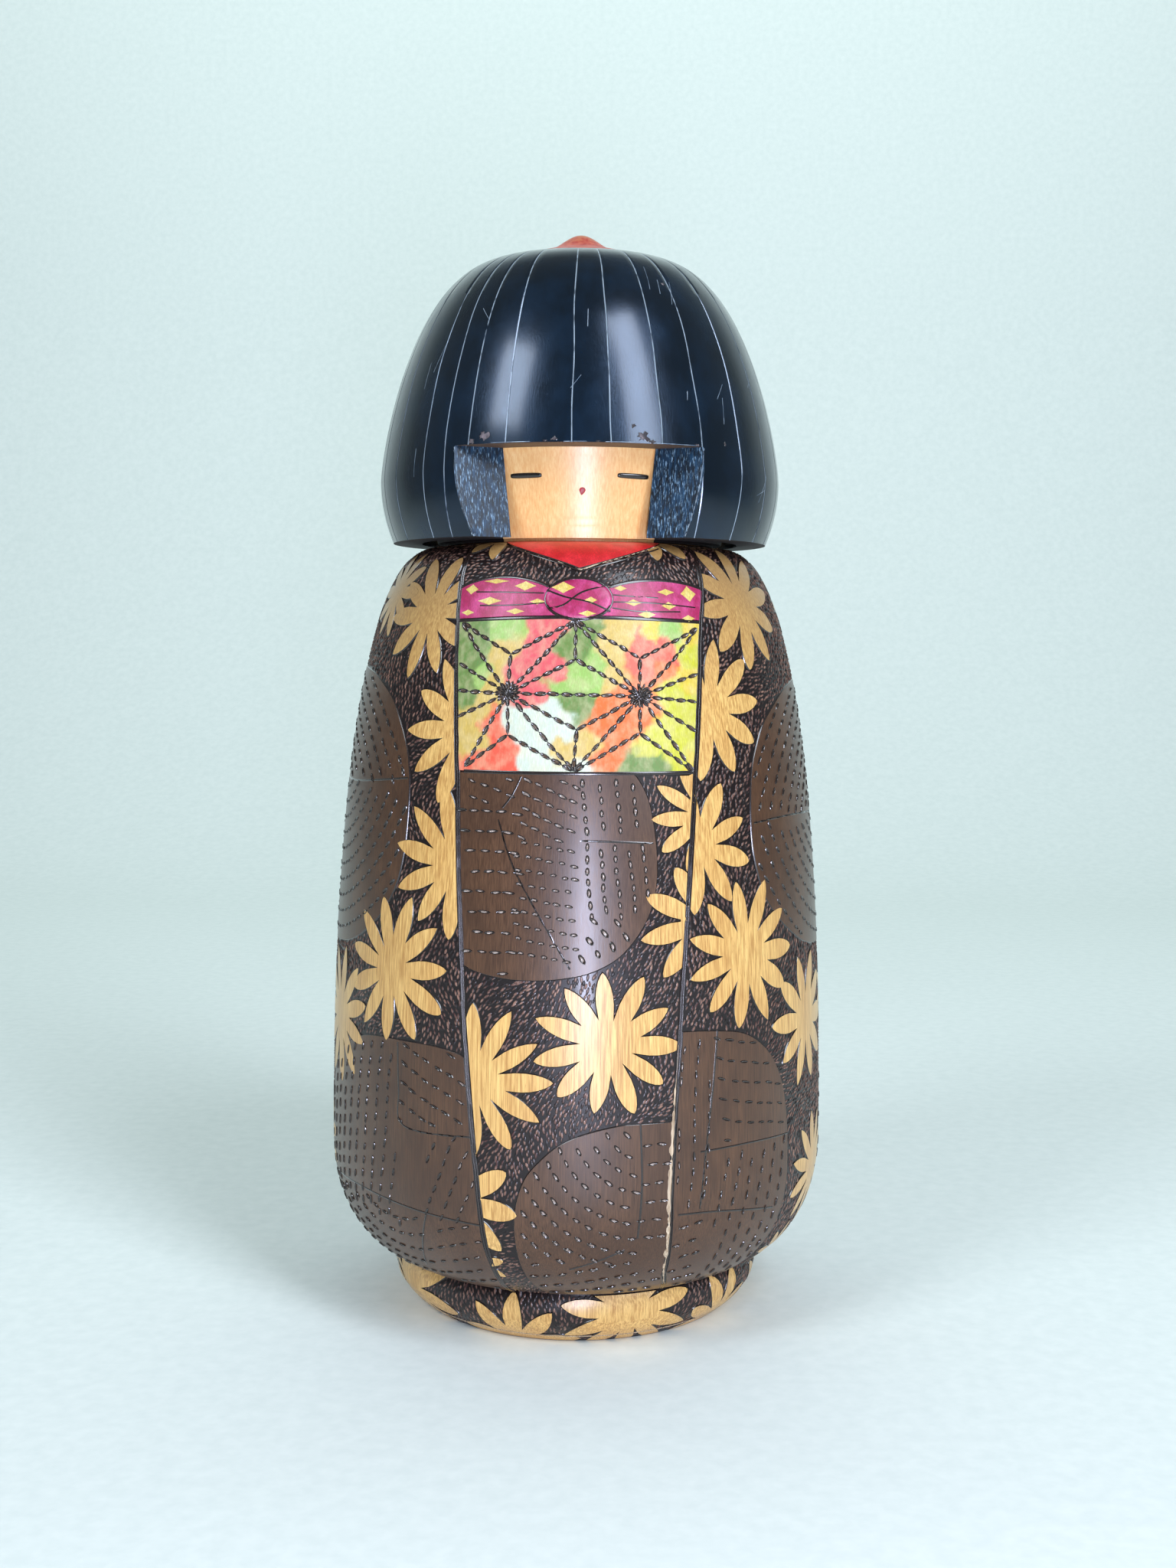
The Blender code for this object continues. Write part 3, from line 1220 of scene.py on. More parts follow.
def quilt_fields() -> tuple[Patch, ...]:
    """The stained patches with their dashes: those of the front first, then the sides and back."""
    straight, arcs = Rows.STRAIGHT, Rows.ARCS
    front, outer = Panel.FRONT, Panel.OUTER
    return (
        Patch(
            -10.0, 160.0, 28.0, 38.0, 2.4, 122.0, 184.6, front,
            (
                Quilting(straight, (-30, -12.5), (122, 175), -4, spacing=5.9, pitch=4.8, length=3.4),
                Quilting(straight, (-30, -12.5), (175, 186), -22, spacing=4.2, pitch=4.6, length=2.8),
                Quilting(straight, (-12.5, 0.5), (164, 186), -30, spacing=3.9, pitch=3.9, length=2.9),
                Quilting(straight, (-13.5, 0.5), (128, 164), -14, spacing=3.9, pitch=3.6, length=2.1),
                Quilting(straight, (1.0, 17.5), (165.5, 184), 90, spacing=4.9, pitch=3.7, length=2.3, width=1.3),
                Quilting(straight, (0.5, 17.5), (141, 163.5), 90, spacing=4.2, pitch=3.4, length=2.3, width=1.2),
                Quilting(arcs, (0.5, 14), (122, 141), centre=(-8, 122), spacing=5.0, pitch=4.6, length=2.8, width=1.4),
            ),
            (
                ((-16.7, 174.0), (-14.5, 178.0), (-12.6, 183.5)),
                ((-17.5, 170.5), (-14.0, 157.0), (-8.0, 142.0), (-1.2, 126.0)),
                ((0.8, 164.6), (9.0, 164.2), (17.0, 163.6)),
            ),
        ),
        Patch(
            -85.0, 170.0, 43.0, 46.0, 2.6, 60.0, 240.0, outer,
            (
                Quilting(arcs, (-128, -42), (180, 218), centre=(-92, 150), spacing=5.4, pitch=4.6, length=2.9, width=1.1),
                Quilting(arcs, (-84, -42), (124, 178), centre=(-80, 196), spacing=5.2, pitch=4.6, length=2.9, width=1.1),
                Quilting(straight, (-128, -85), (124, 178), 12, spacing=5.6, pitch=4.8, length=3.0, width=1.0),
            ),
            (
                ((-126, 176.0), (-100, 179.0), (-70, 178.5), (-43, 181.5)),
                ((-84, 178.0), (-86, 150.0), (-84, 126.0)),
            ),
        ),
        Patch(
            88.0, 168.0, 44.5, 44.5, 2.5, 60.0, 240.0, outer,
            (
                Quilting(arcs, (43, 132), (170, 216), centre=(96, 146), spacing=5.4, pitch=4.6, length=2.9, width=1.1),
                Quilting(arcs, (43, 88), (124, 167), centre=(86, 186), spacing=5.4, pitch=4.8, length=2.9, width=1.1),
                Quilting(straight, (89, 132), (124, 167), -14, spacing=5.6, pitch=4.8, length=3.0, width=1.0),
            ),
            (
                ((44.5, 168.0), (60, 169.0), (90, 168.0), (131, 170.0)),
                ((88, 167.0), (90, 146.0), (88, 126.0)),
            ),
        ),
        Patch(
            -40.0, 46.0, 41.0, 54.0, 2.5, 19.3, 130.0, outer,
            (
                Quilting(straight, (-42, -20), (74, 100), -27, spacing=5.6, pitch=4.6, length=3.0, width=0.9),
                Quilting(straight, (-80, -42.5), (40, 98), 80, spacing=5.4, pitch=4.8, length=2.8, width=0.9),
                Quilting(straight, (-34, -18), (46, 72), 62, spacing=5.4, pitch=4.6, length=2.6, width=0.9),
                Quilting(arcs, (-80, -34.5), (20, 46), centre=(-44, 70), spacing=5.6, pitch=4.6, length=2.6, width=0.9),
                Quilting(straight, (-33, -18), (20, 45), 14, spacing=5.4, pitch=4.8, length=2.6, width=0.9),
            ),
            (
                ((-42.0, 99.0), (-41.5, 84.0), (-40.0, 73.0), (-22.5, 73.0)),
                ((-78, 46.0), (-56, 48.0), (-34, 46.5), (-20.5, 45.5)),
                ((-33.8, 46.5), (-36.0, 38.0), (-39.5, 26.0)),
            ),
        ),
        Patch(
            19.0, 44.0, 32.0, 35.0, 2.5, 19.3, 78.6, front,
            (
                Quilting(arcs, (-13, 13.3), (34, 78), centre=(16, 82), spacing=5.0, pitch=4.5, length=2.7, width=1.1),
                Quilting(straight, (14.2, 22), (42, 78), -4, spacing=5.6, pitch=4.6, length=3.0, width=0.9),
                Quilting(straight, (-15, 22), (20, 34), 8, spacing=5.4, pitch=4.8, length=2.6, width=0.9),
            ),
            (
                ((13.8, 78.4), (14.2, 60.0), (13.6, 42.5)),
                ((-1.0, 32.0), (5.0, 35.0), (11.0, 38.8)),
            ),
        ),
        Patch(
            24.0, 58.0, 31.0, 48.0, 2.6, 19.3, 106.0, outer,
            (
                Quilting(straight, (22, 30), (50, 104), 84, spacing=5.0, pitch=5.0, length=2.6, width=0.8),
                Quilting(straight, (31.5, 55), (69, 104), -16, spacing=6.0, pitch=5.2, length=3.0, width=0.8),
                Quilting(straight, (31.5, 55), (20, 66), 78, spacing=5.2, pitch=5.0, length=2.6, width=0.8),
                Quilting(straight, (20, 30), (20, 48), 6, spacing=5.4, pitch=5.0, length=2.8, width=0.8),
            ),
            (
                ((31.8, 105.0), (30.6, 88.0), (29.0, 70.0), (27.6, 50.0)),
                ((27.5, 68.0), (40.0, 68.0), (54.5, 67.0)),
                ((22.5, 49.0), (33.0, 48.0), (50.0, 44.0)),
            ),
        ),
        Patch(
            108.0, 52.0, 27.0, 42.0, 2.5, 19.3, 130.0, outer,
            (
                Quilting(arcs, (80, 136), (58, 96), centre=(108, 20), spacing=5.4, pitch=4.7, length=2.8, width=1.0),
                Quilting(straight, (80, 136), (20, 55), 82, spacing=5.2, pitch=4.8, length=2.7, width=0.9),
            ),
            (((82, 56.0), (108, 57.5), (134, 55.0)),),
        ),
        Patch(
            -122.0, 60.0, 30.0, 46.0, 2.5, 19.3, 130.0, outer,
            (
                Quilting(straight, (-152, -122), (60, 108), -16, spacing=5.6, pitch=4.7, length=2.9, width=1.0),
                Quilting(straight, (-121, -90), (60, 108), 84, spacing=5.2, pitch=4.8, length=2.8, width=1.0),
                Quilting(arcs, (-152, -90), (20, 57), centre=(-122, 86), spacing=5.5, pitch=4.7, length=2.7, width=0.9),
            ),
            (((-151, 58.0), (-122, 58.5), (-92, 58.0)), ((-121.5, 105.0), (-121.5, 59.0))),
        ),
        Patch(
            -178.0, 186.0, 27.0, 40.0, 2.6, 60.0, 236.0, outer,
            (
                Quilting(arcs, (-210, -178.5), (187, 228), centre=(-150, 180), spacing=5.4, pitch=4.7, length=2.9, width=1.1),
                Quilting(straight, (-177.5, -148), (187, 228), 80, spacing=5.2, pitch=4.6, length=2.8, width=1.1),
                Quilting(straight, (-210, -148), (144, 184), -8, spacing=5.7, pitch=4.9, length=3.1, width=1.0),
            ),
            (((-204, 186.0), (-178, 185.0), (-152, 186.0)), ((-178, 224.0), (-178, 186.0))),
        ),
        Patch(
            172.0, 60.0, 24.0, 44.0, 2.5, 19.3, 130.0, outer,
            (
                Quilting(straight, (146, 172), (52, 104), 18, spacing=5.6, pitch=4.8, length=2.9, width=1.0),
                Quilting(straight, (173, 199), (52, 104), -20, spacing=5.6, pitch=4.8, length=2.9, width=1.0),
                Quilting(straight, (146, 199), (20, 50), 86, spacing=5.4, pitch=4.8, length=2.7, width=0.9),
            ),
            (((150, 51.0), (172, 51.5), (194, 51.0)), ((172.5, 103.0), (172.5, 52.0))),
        ),
    )  # fmt: skip


def blossoms() -> tuple[Blossom, ...]:
    """The blossoms, front first: those between the seams, those outside them, the back and the foot."""
    front = Panel.FRONT
    return (
        Blossom(6.9, 103.0, 23.6, 11, -4.7, front),
        Blossom(-21.9, 91.0, 25.2, 12, -1.0, front),
        Blossom(29.0, 139.0, 21.8, 10, -30.0, front, high=184.0),
        Blossom(30.0, 171.0, 19.6, 11, -58.0, front, high=184.0),
        Blossom(-26.0, 52.5, 20.5, 9, 17.6, front),
        Blossom(-22.0, 31.5, 9.0, 7, 20.0, front, low=19.5),
        Blossom(-29.0, 260.0, 15.5, 9, 172.0, front, low=243.0),
        Blossom(27.0, 260.0, 17.0, 9, 190.0, front, low=243.0),
        Blossom(-45.0, 121.5, 24.8, 11, -13.0),
        Blossom(-69.2, 101.5, 23.6, 11, 9.0),
        Blossom(-27.5, 156.0, 24.4, 11, -12.7),
        Blossom(-26.4, 197.5, 24.8, 11, -60.0),
        Blossom(-43.5, 233.0, 22.0, 10, 194.0),
        Blossom(-66.0, 240.0, 17.5, 10, 20.0),
        Blossom(28.0, 162.0, 21.2, 9, 26.0),
        Blossom(33.0, 204.0, 23.0, 10, 13.0),
        Blossom(51.5, 237.0, 22.5, 10, 8.0),
        Blossom(40.0, 127.7, 24.4, 11, -8.0),
        Blossom(64.6, 102.0, 23.4, 10, -16.0),
        Blossom(71.0, 50.0, 21.0, 11, -41.0, low=19.5),
        Blossom(62.0, 24.0, 13.0, 9, -30.0, low=19.5),
        Blossom(-86.5, 56.0, 20.0, 11, 12.0, low=19.5),
        Blossom(-90.0, 241.0, 15.0, 10, 0.0),
        Blossom(-92.0, 108.0, 17.0, 10, 18.0),
        Blossom(92.0, 238.0, 17.0, 10, 10.0),
        Blossom(87.0, 107.0, 16.0, 10, 5.0),
        Blossom(116.0, 115.0, 18.5, 11, 16.0),
        Blossom(140.0, 96.0, 20.5, 11, 3.0),
        Blossom(140.0, 224.0, 22.0, 11, 22.0),
        Blossom(141.0, 182.0, 19.5, 10, 9.0),
        Blossom(143.0, 140.0, 20.0, 11, 30.0),
        Blossom(142.0, 52.0, 15.0, 10, 12.0, low=19.5),
        Blossom(178.0, 124.0, 19.0, 11, 4.0),
        Blossom(-163.0, 90.0, 12.0, 9, 20.0),
        Blossom(-138.0, 226.0, 21.0, 11, 14.0),
        Blossom(-140.0, 184.0, 18.0, 10, 26.0),
        Blossom(-139.0, 142.0, 22.0, 11, 8.0),
        Blossom(-164.0, 58.0, 14.0, 10, 16.0, low=19.5),
        Blossom(-114.0, 116.0, 14.5, 10, 6.0),
        Blossom(116.0, 230.0, 13.0, 9, 30.0),
        Blossom(-113.0, 234.0, 13.5, 9, 2.0),
        Blossom(180.0, 244.0, 15.0, 10, 12.0),
    )


def foot_blossoms() -> tuple[Blossom, ...]:
    """The blossoms that run round the foot under the hem, cut off by both."""
    foot, high = Panel.FOOT, 17.4
    visible = (
        Blossom(-62.0, 9.0, 25.0, 10, 62.0, foot, high=high),
        Blossom(-19.0, -1.0, 21.0, 9, 2.0, foot, high=high),
        Blossom(16.5, 12.0, 24.0, 11, 80.0, foot, high=high),
        Blossom(53.0, 2.0, 19.0, 9, -22.0, foot, high=high),
    )
    rest = []
    for i in range(8):
        turn = (264.0 + 27.0 * i) % 360.0 - 180.0
        rest.append(Blossom(turn, 1.0 + 8.0 * (i % 2), 21.0, 9 + i % 2, 13.0 * i, foot, high=high))
    return visible + tuple(rest)


@dataclass
class Kimono:
    """The turned body with its burnt and coloured pattern."""

    palette: Palette
    columns: int = 288
    # Dashes within this angle of the front get a pale middle, a painted highlight.
    painted_light_limit: float = math.radians(25.0)

    def __post_init__(self) -> None:
        """Prepares the surface and the shapes that the other steps keep clear of."""
        self.surface = body_surface()
        self.patches = quilt_fields()
        self.blossoms = blossoms()
        self.foot = foot_blossoms()
        self.chance = random.Random(41)

    # the body itself

    def build_core(self) -> None:
        """The turned body at the level of the burnt ground, bare underneath."""
        low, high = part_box("body")
        surface = self.surface
        outline = [(0.0, 1.5 * MM), (40.0 * MM, 1.5 * MM), (40.0 * MM, 0.0)]
        count = 210
        for i in range(count + 1):
            arc = surface.length * i / count
            radius, height, across, up = surface.sample(arc)
            fade = min(1.0, min(arc, surface.length - arc) / (2.0 * MM))
            outline.append((radius + FLOOR * across * fade, height + FLOOR * up * fade))
        outline[3] = (outline[3][0], 0.0)
        outline += [
            (9.4 * MM, high.z),
            (9.4 * MM, high.z - 41.6 * MM),
            (0.0, high.z - 41.6 * MM),
        ]
        mesh = bmesh.new()
        spin_outline(mesh, outline, self.columns)
        mesh.verts.layers.float.new("tint")
        for face in mesh.faces:
            middle = face.calc_center_median()
            reach = math.hypot(middle.x, middle.y)
            bare = middle.z < 2.0 * MM and reach < 53.5 * MM
            # Painted shade: the top flat beyond 38 mm, under the head, takes the dark burnt colour instead of bare
            # wood.
            face.material_index = 1 if bare or reach < 38.0 * MM else 0
        core = finish_piece("kimono_core", mesh, [self.palette.ground, self.palette.bare], "body")
        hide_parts("body")

    # what stands at the old surface

    def build_plates(self) -> None:
        """The stained patches and the blossoms."""
        mesh = bmesh.new()
        for patch in self.patches:
            patch.build(mesh, self.surface)
        finish_piece("quilted_patches", mesh, [self.palette.patch, self.palette.hot_line], "body")
        mesh = bmesh.new()
        for blossom in self.blossoms + self.foot:
            blossom.build(mesh, self.surface)
        finish_piece("blossoms", mesh, [self.palette.blossom, self.palette.hot_line], "body")

    def taken(self, angle: float, arc: float, height: float, margin: float) -> bool:
        """Whether a patch, a blossom, the sash or the collar covers a place."""
        surface = self.surface
        for patch in self.patches:
            if abs(turn_between(angle, patch.angle)) < patch.half_angle + 3.0:
                if patch.depth(surface, angle, height) > -margin:
                    return True
        for blossom in self.blossoms + self.foot:
            if abs(turn_between(angle, blossom.angle)) < 36.0 and blossom.covers(
                surface, angle, arc, height, margin
            ):
                return True
        radius = surface.sample(arc)[0]
        if inside_panel(Panel.FRONT, angle, height, -1.0 * MM, radius):
            if 184.0 * MM < height < sash_top(angle) * MM + 0.4 * MM:
                return True
            if height > collar_edge(angle) * MM:
                return True
        for seam in (LEFT_SEAM, RIGHT_SEAM):
            if height > 18.0 * MM and abs(math.radians(angle - seam.angle(height))) * radius < 1.1 * MM:
                return True
        return False

    def build_ground(self) -> None:
        """The stippling: thousands of short burnt grains wherever nothing was left standing."""
        surface, chance = self.surface, self.chance
        groups: dict[str, list] = {"ground_front": [], "ground_back": []}
        tints: dict[str, list] = {"ground_front": [], "ground_back": []}
        row_gap, along = 1.30 * MM, 1.75 * MM
        rows = int(surface.length / row_gap)
        for row in range(rows):
            arc = (row + 0.5) * row_gap
            radius, height, _, _ = surface.sample(arc)
            if height > 255.2 * MM or abs(height - 17.9 * MM) < 0.7 * MM or height < 0.8 * MM:
                continue
            count = int(2.0 * math.pi * radius / along)
            for i in range(count):
                here = arc + row_gap * (chance.random() - 0.5) * 0.7
                share = (i + 0.5 * (row % 2) + (chance.random() - 0.5) * 0.5) / count
                angle = 360.0 * share - 180.0
                level = surface.sample(here)[1]
                if self.taken(angle, here, level, 0.25 * MM):
                    continue
                flow = noise.noise(Vector((angle * 0.05, level / MM * 0.045, 7.0)))
                turn = math.radians(62.0 + 95.0 * flow + chance.uniform(-16.0, 16.0))
                spot = (
                    math.radians(angle), here, turn, chance.uniform(1.9, 3.2) * MM,
                    chance.uniform(0.75, 1.15) * MM, chance.uniform(0.30, 0.44) * MM,
                )  # fmt: skip
                group = "ground_front" if abs(angle) < 80.0 else "ground_back"
                groups[group].append(spot)
                tints[group].append(chance.random() ** 0.7)
        for name, spots in groups.items():
            mesh = scatter(name, grain_template(), spots, surface, FLOOR - 0.03 * MM, tints[name])
            finish_piece(name, mesh, [self.palette.ground], "body", 80.0)

    # stitches and lines

    def quilt_spots(self, patch: Patch, field: Quilting) -> list:
        """The dashes of one field.

        Args:
            patch: the patch that holds it.
            field: how its dashes run.

        Returns:
            A spot for each dash, as scatter takes them.
        """
        surface, chance = self.surface, self.chance
        spots = []
        angle_mid, height_mid = sum(field.angles) / 2.0, sum(field.heights) / 2.0 * MM
        arc_mid = surface.arc(height_mid)
        radius_mid = surface.radius(height_mid)
        half_wide = math.radians(field.angles[1] - field.angles[0]) / 2.0 * radius_mid
        half_tall = (field.heights[1] - field.heights[0]) / 2.0 * MM
        places = []
        if field.rows is Rows.STRAIGHT:
            reach = math.hypot(half_wide, half_tall)
            tilt = math.radians(field.tilt)
            for row in range(-int(reach / field.spacing / MM) - 1, int(reach / field.spacing / MM) + 2):
                for step in range(-int(reach / field.pitch / MM) - 1, int(reach / field.pitch / MM) + 2):
                    along = (step + 0.5 * (row % 2) + chance.uniform(-0.10, 0.10)) * field.pitch * MM
                    wave = 1.1 * MM * math.sin(along / (11.0 * MM) + row * 0.25)
                    off = row * field.spacing * MM + wave + chance.uniform(-0.2, 0.2) * MM
                    across = along * math.cos(tilt) - off * math.sin(tilt)
                    up = along * math.sin(tilt) + off * math.cos(tilt)
                    lean = tilt + 0.1 * math.cos(along / (11.0 * MM) + row * 0.25)
                    places.append((angle_mid + math.degrees(across / radius_mid), arc_mid + up, lean))
        else:
            centre_arc = surface.arc(field.centre[1] * MM)
            for ring in range(1, 24):
                size = ring * field.spacing * MM
                count = max(int(2.0 * math.pi * size / (field.pitch * MM)), 4)
                for i in range(count):
                    turn = 2.0 * math.pi * (i + 0.5 * (ring % 2) + chance.uniform(-0.1, 0.1)) / count
                    across, up = size * math.cos(turn), size * math.sin(turn)
                    angle = field.centre[0] + math.degrees(across / radius_mid)
                    places.append((angle, centre_arc + up, turn + 0.5 * math.pi))
        for angle, arc, lean in places:
            if not 0.0 < arc < surface.length:
                continue
            height = surface.sample(arc)[1]
            shown = (angle + 180.0) % 360.0 - 180.0
            if not field.angles[0] < angle < field.angles[1]:
                continue
            if not field.heights[0] * MM < height < field.heights[1] * MM:
                continue
            if patch.depth(surface, shown, height) < 1.3 * MM:
                continue
            lean += chance.uniform(-0.12, 0.12)
            length = field.length * chance.uniform(1.0, 1.35) * MM
            width = field.width * chance.uniform(1.0, 1.3) * MM
            spots.append((math.radians(shown), arc, lean, length, width, 1.0))
        return spots

    def build_quilting(self) -> None:
        """The burnt dashes of the patches and the thin joins between their fields."""
        spots = []
        for patch in self.patches:
            for field in patch.quilting:
                spots += self.quilt_spots(patch, field)
        # Painted highlight: the dashes on the front get a pale middle, the others stay dark.
        rubbed = [spot for spot in spots if abs(spot[0]) < self.painted_light_limit]
        others = [spot for spot in spots if abs(spot[0]) >= self.painted_light_limit]
        mesh = scatter("quilting_front", stitch_template(0.26 * MM), rubbed, self.surface, 0.01 * MM)
        finish_piece("quilting_front", mesh, [self.palette.stitch, self.palette.sheen_dish], "body", 60.0)
        mesh = scatter("quilting", stitch_template(0.24 * MM), others, self.surface, 0.01 * MM)
        section = [(-0.34 * MM, -0.02 * MM), (-0.16 * MM, 0.10 * MM), (0.16 * MM, 0.10 * MM), (0.34 * MM, -0.02 * MM)]
        for patch in self.patches:
            for line in patch.lines:
                ribbon(self.surface, smooth_path(line, self.surface, 1.6 * MM), section, mesh)
        finish_piece("quilting", mesh, [self.palette.stitch, self.palette.stitch], "body", 60.0)

    def build_seams(self) -> None:
        """The two long seams, grooves with pushed-up lips; a pale strip down the right seam, partly worn and partly a
        painted reflection; and the ring at the foot.
        """
        mesh = bmesh.new()
        lip = 0.14 * MM
        half = [(0.0, -0.24 * MM), (0.22 * MM, 0.0), (0.40 * MM, lip), (0.58 * MM, lip * 0.5), (0.80 * MM, FLOOR)]
        groove = [(-x, z) for x, z in half[:0:-1]] + half
        for seam in (LEFT_SEAM, RIGHT_SEAM):
            path = smooth_path([(a, h) for h, a in seam.points], self.surface, 1.5 * MM)
            shaky = []
            for i, (angle, arc) in enumerate(path):
                sway = 0.22 * MM * noise.noise(Vector((i * 0.35, seam.points[0][1], 0.0)))
                shaky.append((angle + sway / self.surface.sample(arc)[0], arc))
            ribbon(self.surface, shaky, groove, mesh)
        finish_piece("seams", mesh, [self.palette.hot_line], "body", 70.0)
        # A pale strip down the lower right seam, partly a worn chip and partly a painted reflection, and the pale line
        # round the foot.
        worn = bmesh.new()
        flake = [(-0.95 * MM, -0.05 * MM), (-0.62 * MM, 0.16 * MM), (0.15 * MM, 0.14 * MM), (0.48 * MM, -0.10 * MM)]
        path = smooth_path([(RIGHT_SEAM.angle(h * MM) - 0.25, h) for h in range(24, 106, 6)], self.surface, 1.0 * MM)

        def width(share: float) -> float:
            rough = noise.noise(Vector((share * 31.0, 4.0, 0.0))) * 1.5
            return max(0.12, (0.85 + rough) * math.sin(math.pi * min(share * 1.15, 1.0)) ** 0.5)

        ribbon(self.surface, path, flake, worn, width)
        ring = [(360.0 * i / 96.0, 2.6) for i in range(97)]
        line = [(-0.35 * MM, -0.02 * MM), (-0.2 * MM, 0.06 * MM), (0.2 * MM, 0.06 * MM), (0.35 * MM, -0.02 * MM)]
        ribbon(self.surface, smooth_path(ring, self.surface, 4.0 * MM), line, worn)
        finish_piece("worn_and_sheen_seam_strip_and_foot_line", worn, [self.palette.pale], "body", 60.0)

    def build(self) -> None:
        """Builds the whole kimono."""
        self.build_core()
        self.build_plates()
        self.build_ground()
        self.build_quilting()
        self.build_seams()
        Sash(self.palette, self.surface).build()


def sash_top(angle: float) -> float:
    """Height in mm of the sash cord's scalloped upper edge at an angle in degrees."""
    if angle < -7.5:
        share = min(max((angle + 35.0) / 27.5, 0.0), 1.0)
        return 240.2 + 3.6 * math.sin(math.pi * share) ** 0.7
    if angle > 8.0:
        share = min(max((angle - 8.0) / 29.0, 0.0), 1.0)
        return 240.2 + 2.8 * math.sin(math.pi * share) ** 0.7
    return 240.2


def collar_edge(angle: float) -> float:
    """Height in mm of the scarlet collar's lower edge at an angle in degrees."""
    if angle < 0.3:
        return 246.5 + 8.9 * min((0.3 - angle) / 28.0, 1.0) ** 0.85
    return 246.5 + 8.9 * min((angle - 0.3) / 31.0, 1.0) ** 0.95


class Pigment(Enum):
    """The water colours of the broad sash."""

    GREEN = "598239"
    PALE_GREEN = "90bb5a"
    STRAW = "cdae57"
    PINK = "db505d"
    CORAL = "e7523e"
    MILK = "cbd9c7"
    ORANGE = "f06210"
    LIME = "c3c325"
    YELLOW = "d8bd32"


@dataclass
class Sash:
    """The front of the sash: a washed field of hemp-leaf stitching under a magenta cord with a knot."""

    palette: Palette
    surface: Turning
    chance = random.Random(17)

    washes = (
        (Pigment.GREEN, (-29, 226), (-27, 219), (-29, 211), (-2, 223), (-1, 205), (2, 227), (12, 186), (19, 187)),
        (Pigment.PALE_GREEN, (-20, 227), (-5, 210), (2, 214), (-24, 214), (25, 226), (4, 219)),
        (Pigment.STRAW, (-18, 222), (-23, 204), (-26, 196), (-3, 191), (2, 195), (6, 222), (9, 214), (-20, 211), (12, 228)),
        (Pigment.PINK, (-9, 225), (-14, 214), (-6, 217), (-11, 209), (-4, 228)),
        (Pigment.CORAL, (-20, 200), (-17, 189), (-22, 188), (17, 224), (23, 222), (15, 216)),
        (Pigment.MILK, (-13, 200), (-8, 195), (-10, 188), (-3, 200), (-7, 204), (-2, 187)),
        (Pigment.ORANGE, (8, 202), (12, 198), (9, 190), (17, 204), (21, 215), (12, 208), (5, 198)),
        (Pigment.LIME, (24, 200), (28, 205), (27, 194), (22, 209), (29, 221), (23, 190), (18, 195)),
        (Pigment.YELLOW, (25, 212), (29, 212), (31, 228), (27, 187), (20, 228)),
    )  # fmt: skip

    def band(self, low: Callable, high: Callable, rows: int, lift: float, columns: int = 110) -> BMesh:
        """A plate between the two seams.

        Args:
            low: its lower edge in mm for an angle in degrees.
            high: its upper edge.
            rows: steps up.
            lift: how far its face lies off the old surface.
            columns: steps across.

        Returns:
            Its mesh.
        """
        mesh = bmesh.new()
        bmesh.ops.create_grid(mesh, x_segments=columns, y_segments=rows, size=0.5)
        edge = [e for e in mesh.edges if e.is_boundary]
        skirt = bmesh.ops.extrude_edge_only(mesh, edges=edge)["geom"]
        outer = {v for v in skirt if isinstance(v, BMVert)}
        surface = self.surface
        for vert in mesh.verts:
            across, up = vert.co.x + 0.5, vert.co.y + 0.5
            guess = 215.0 * MM
            for _ in range(2):
                left, right = LEFT_SEAM.angle(guess), RIGHT_SEAM.angle(guess)
                angle = left + (right - left) * across
                height = (low(angle) + (high(angle) - low(angle)) * up) * MM
                guess = height
            gap = math.degrees(SEAM_GAP / surface.radius(height))
            angle = left + gap + (right - left - 2.0 * gap) * across
            depth = FLOOR if vert in outer else lift
            vert.co = surface.place(math.radians(angle), surface.arc(height), depth)
        bmesh.ops.recalc_face_normals(mesh, faces=mesh.faces[:])
        return mesh

    def build_field(self) -> None:
        """The washed field."""
        mesh = self.band(lambda a: 184.9, lambda a: 230.3 + 1.2 * math.cos(math.radians(a * 2.6)), 64, 0.0)
        marks = [(linear(row[0].value), a, h) for row in self.washes for a, h in row[1:]]
        layer = mesh.verts.layers.float_color.new("wash")
        for vert in mesh.verts:
            angle = math.degrees(math.atan2(vert.co.x, -vert.co.y))
            x, y = angle * 1.3, vert.co.z / MM
            warp = noise.noise_vector(Vector((x * 0.16, y * 0.16, 3.0))) * 3.4
            warp += noise.noise_vector(Vector((x * 0.6, y * 0.6, 9.0))) * 0.9
            near = sorted(
                (math.hypot(x + warp.x - a * 1.3, y + warp.y - h), colour) for colour, a, h in marks
            )[:2]
            share = 0.5 * max(0.0, 1.0 - (near[1][0] - near[0][0]) / 1.3)
            vert[layer] = [p + (q - p) * share for p, q in zip(near[0][1], near[1][1])]
        finish_piece("sash_field", mesh, [self.palette.wash], "body")

    def chain(self, start: Point, end: Point, dash: float = 4.0, width: float = 1.0) -> list:
        """A row of long burnt stitches from one place to another, each (degrees, mm)."""
        surface = self.surface
        a0, a1 = math.radians(start[0]), math.radians(end[0])
        s0, s1 = surface.arc(start[1] * MM), surface.arc(end[1] * MM)
        radius = surface.sample((s0 + s1) / 2.0)[0]
        run = math.hypot((a1 - a0) * radius, s1 - s0)
        count = max(int(run / (dash * MM) + 0.5), 1)
        lean = math.atan2(s1 - s0, (a1 - a0) * radius)
        spots = []
        for i in range(count):
            share = (i + 0.5) / count
            spots.append(
                (
                    a0 + (a1 - a0) * share + self.chance.uniform(-0.12, 0.12) * MM / radius,
                    s0 + (s1 - s0) * share + self.chance.uniform(-0.12, 0.12) * MM,
                    lean + self.chance.uniform(-0.09, 0.09),
                    run / count * self.chance.uniform(0.90, 1.04),
                    width * self.chance.uniform(0.85, 1.15) * MM,
                    1.0,
                )
            )
        return spots

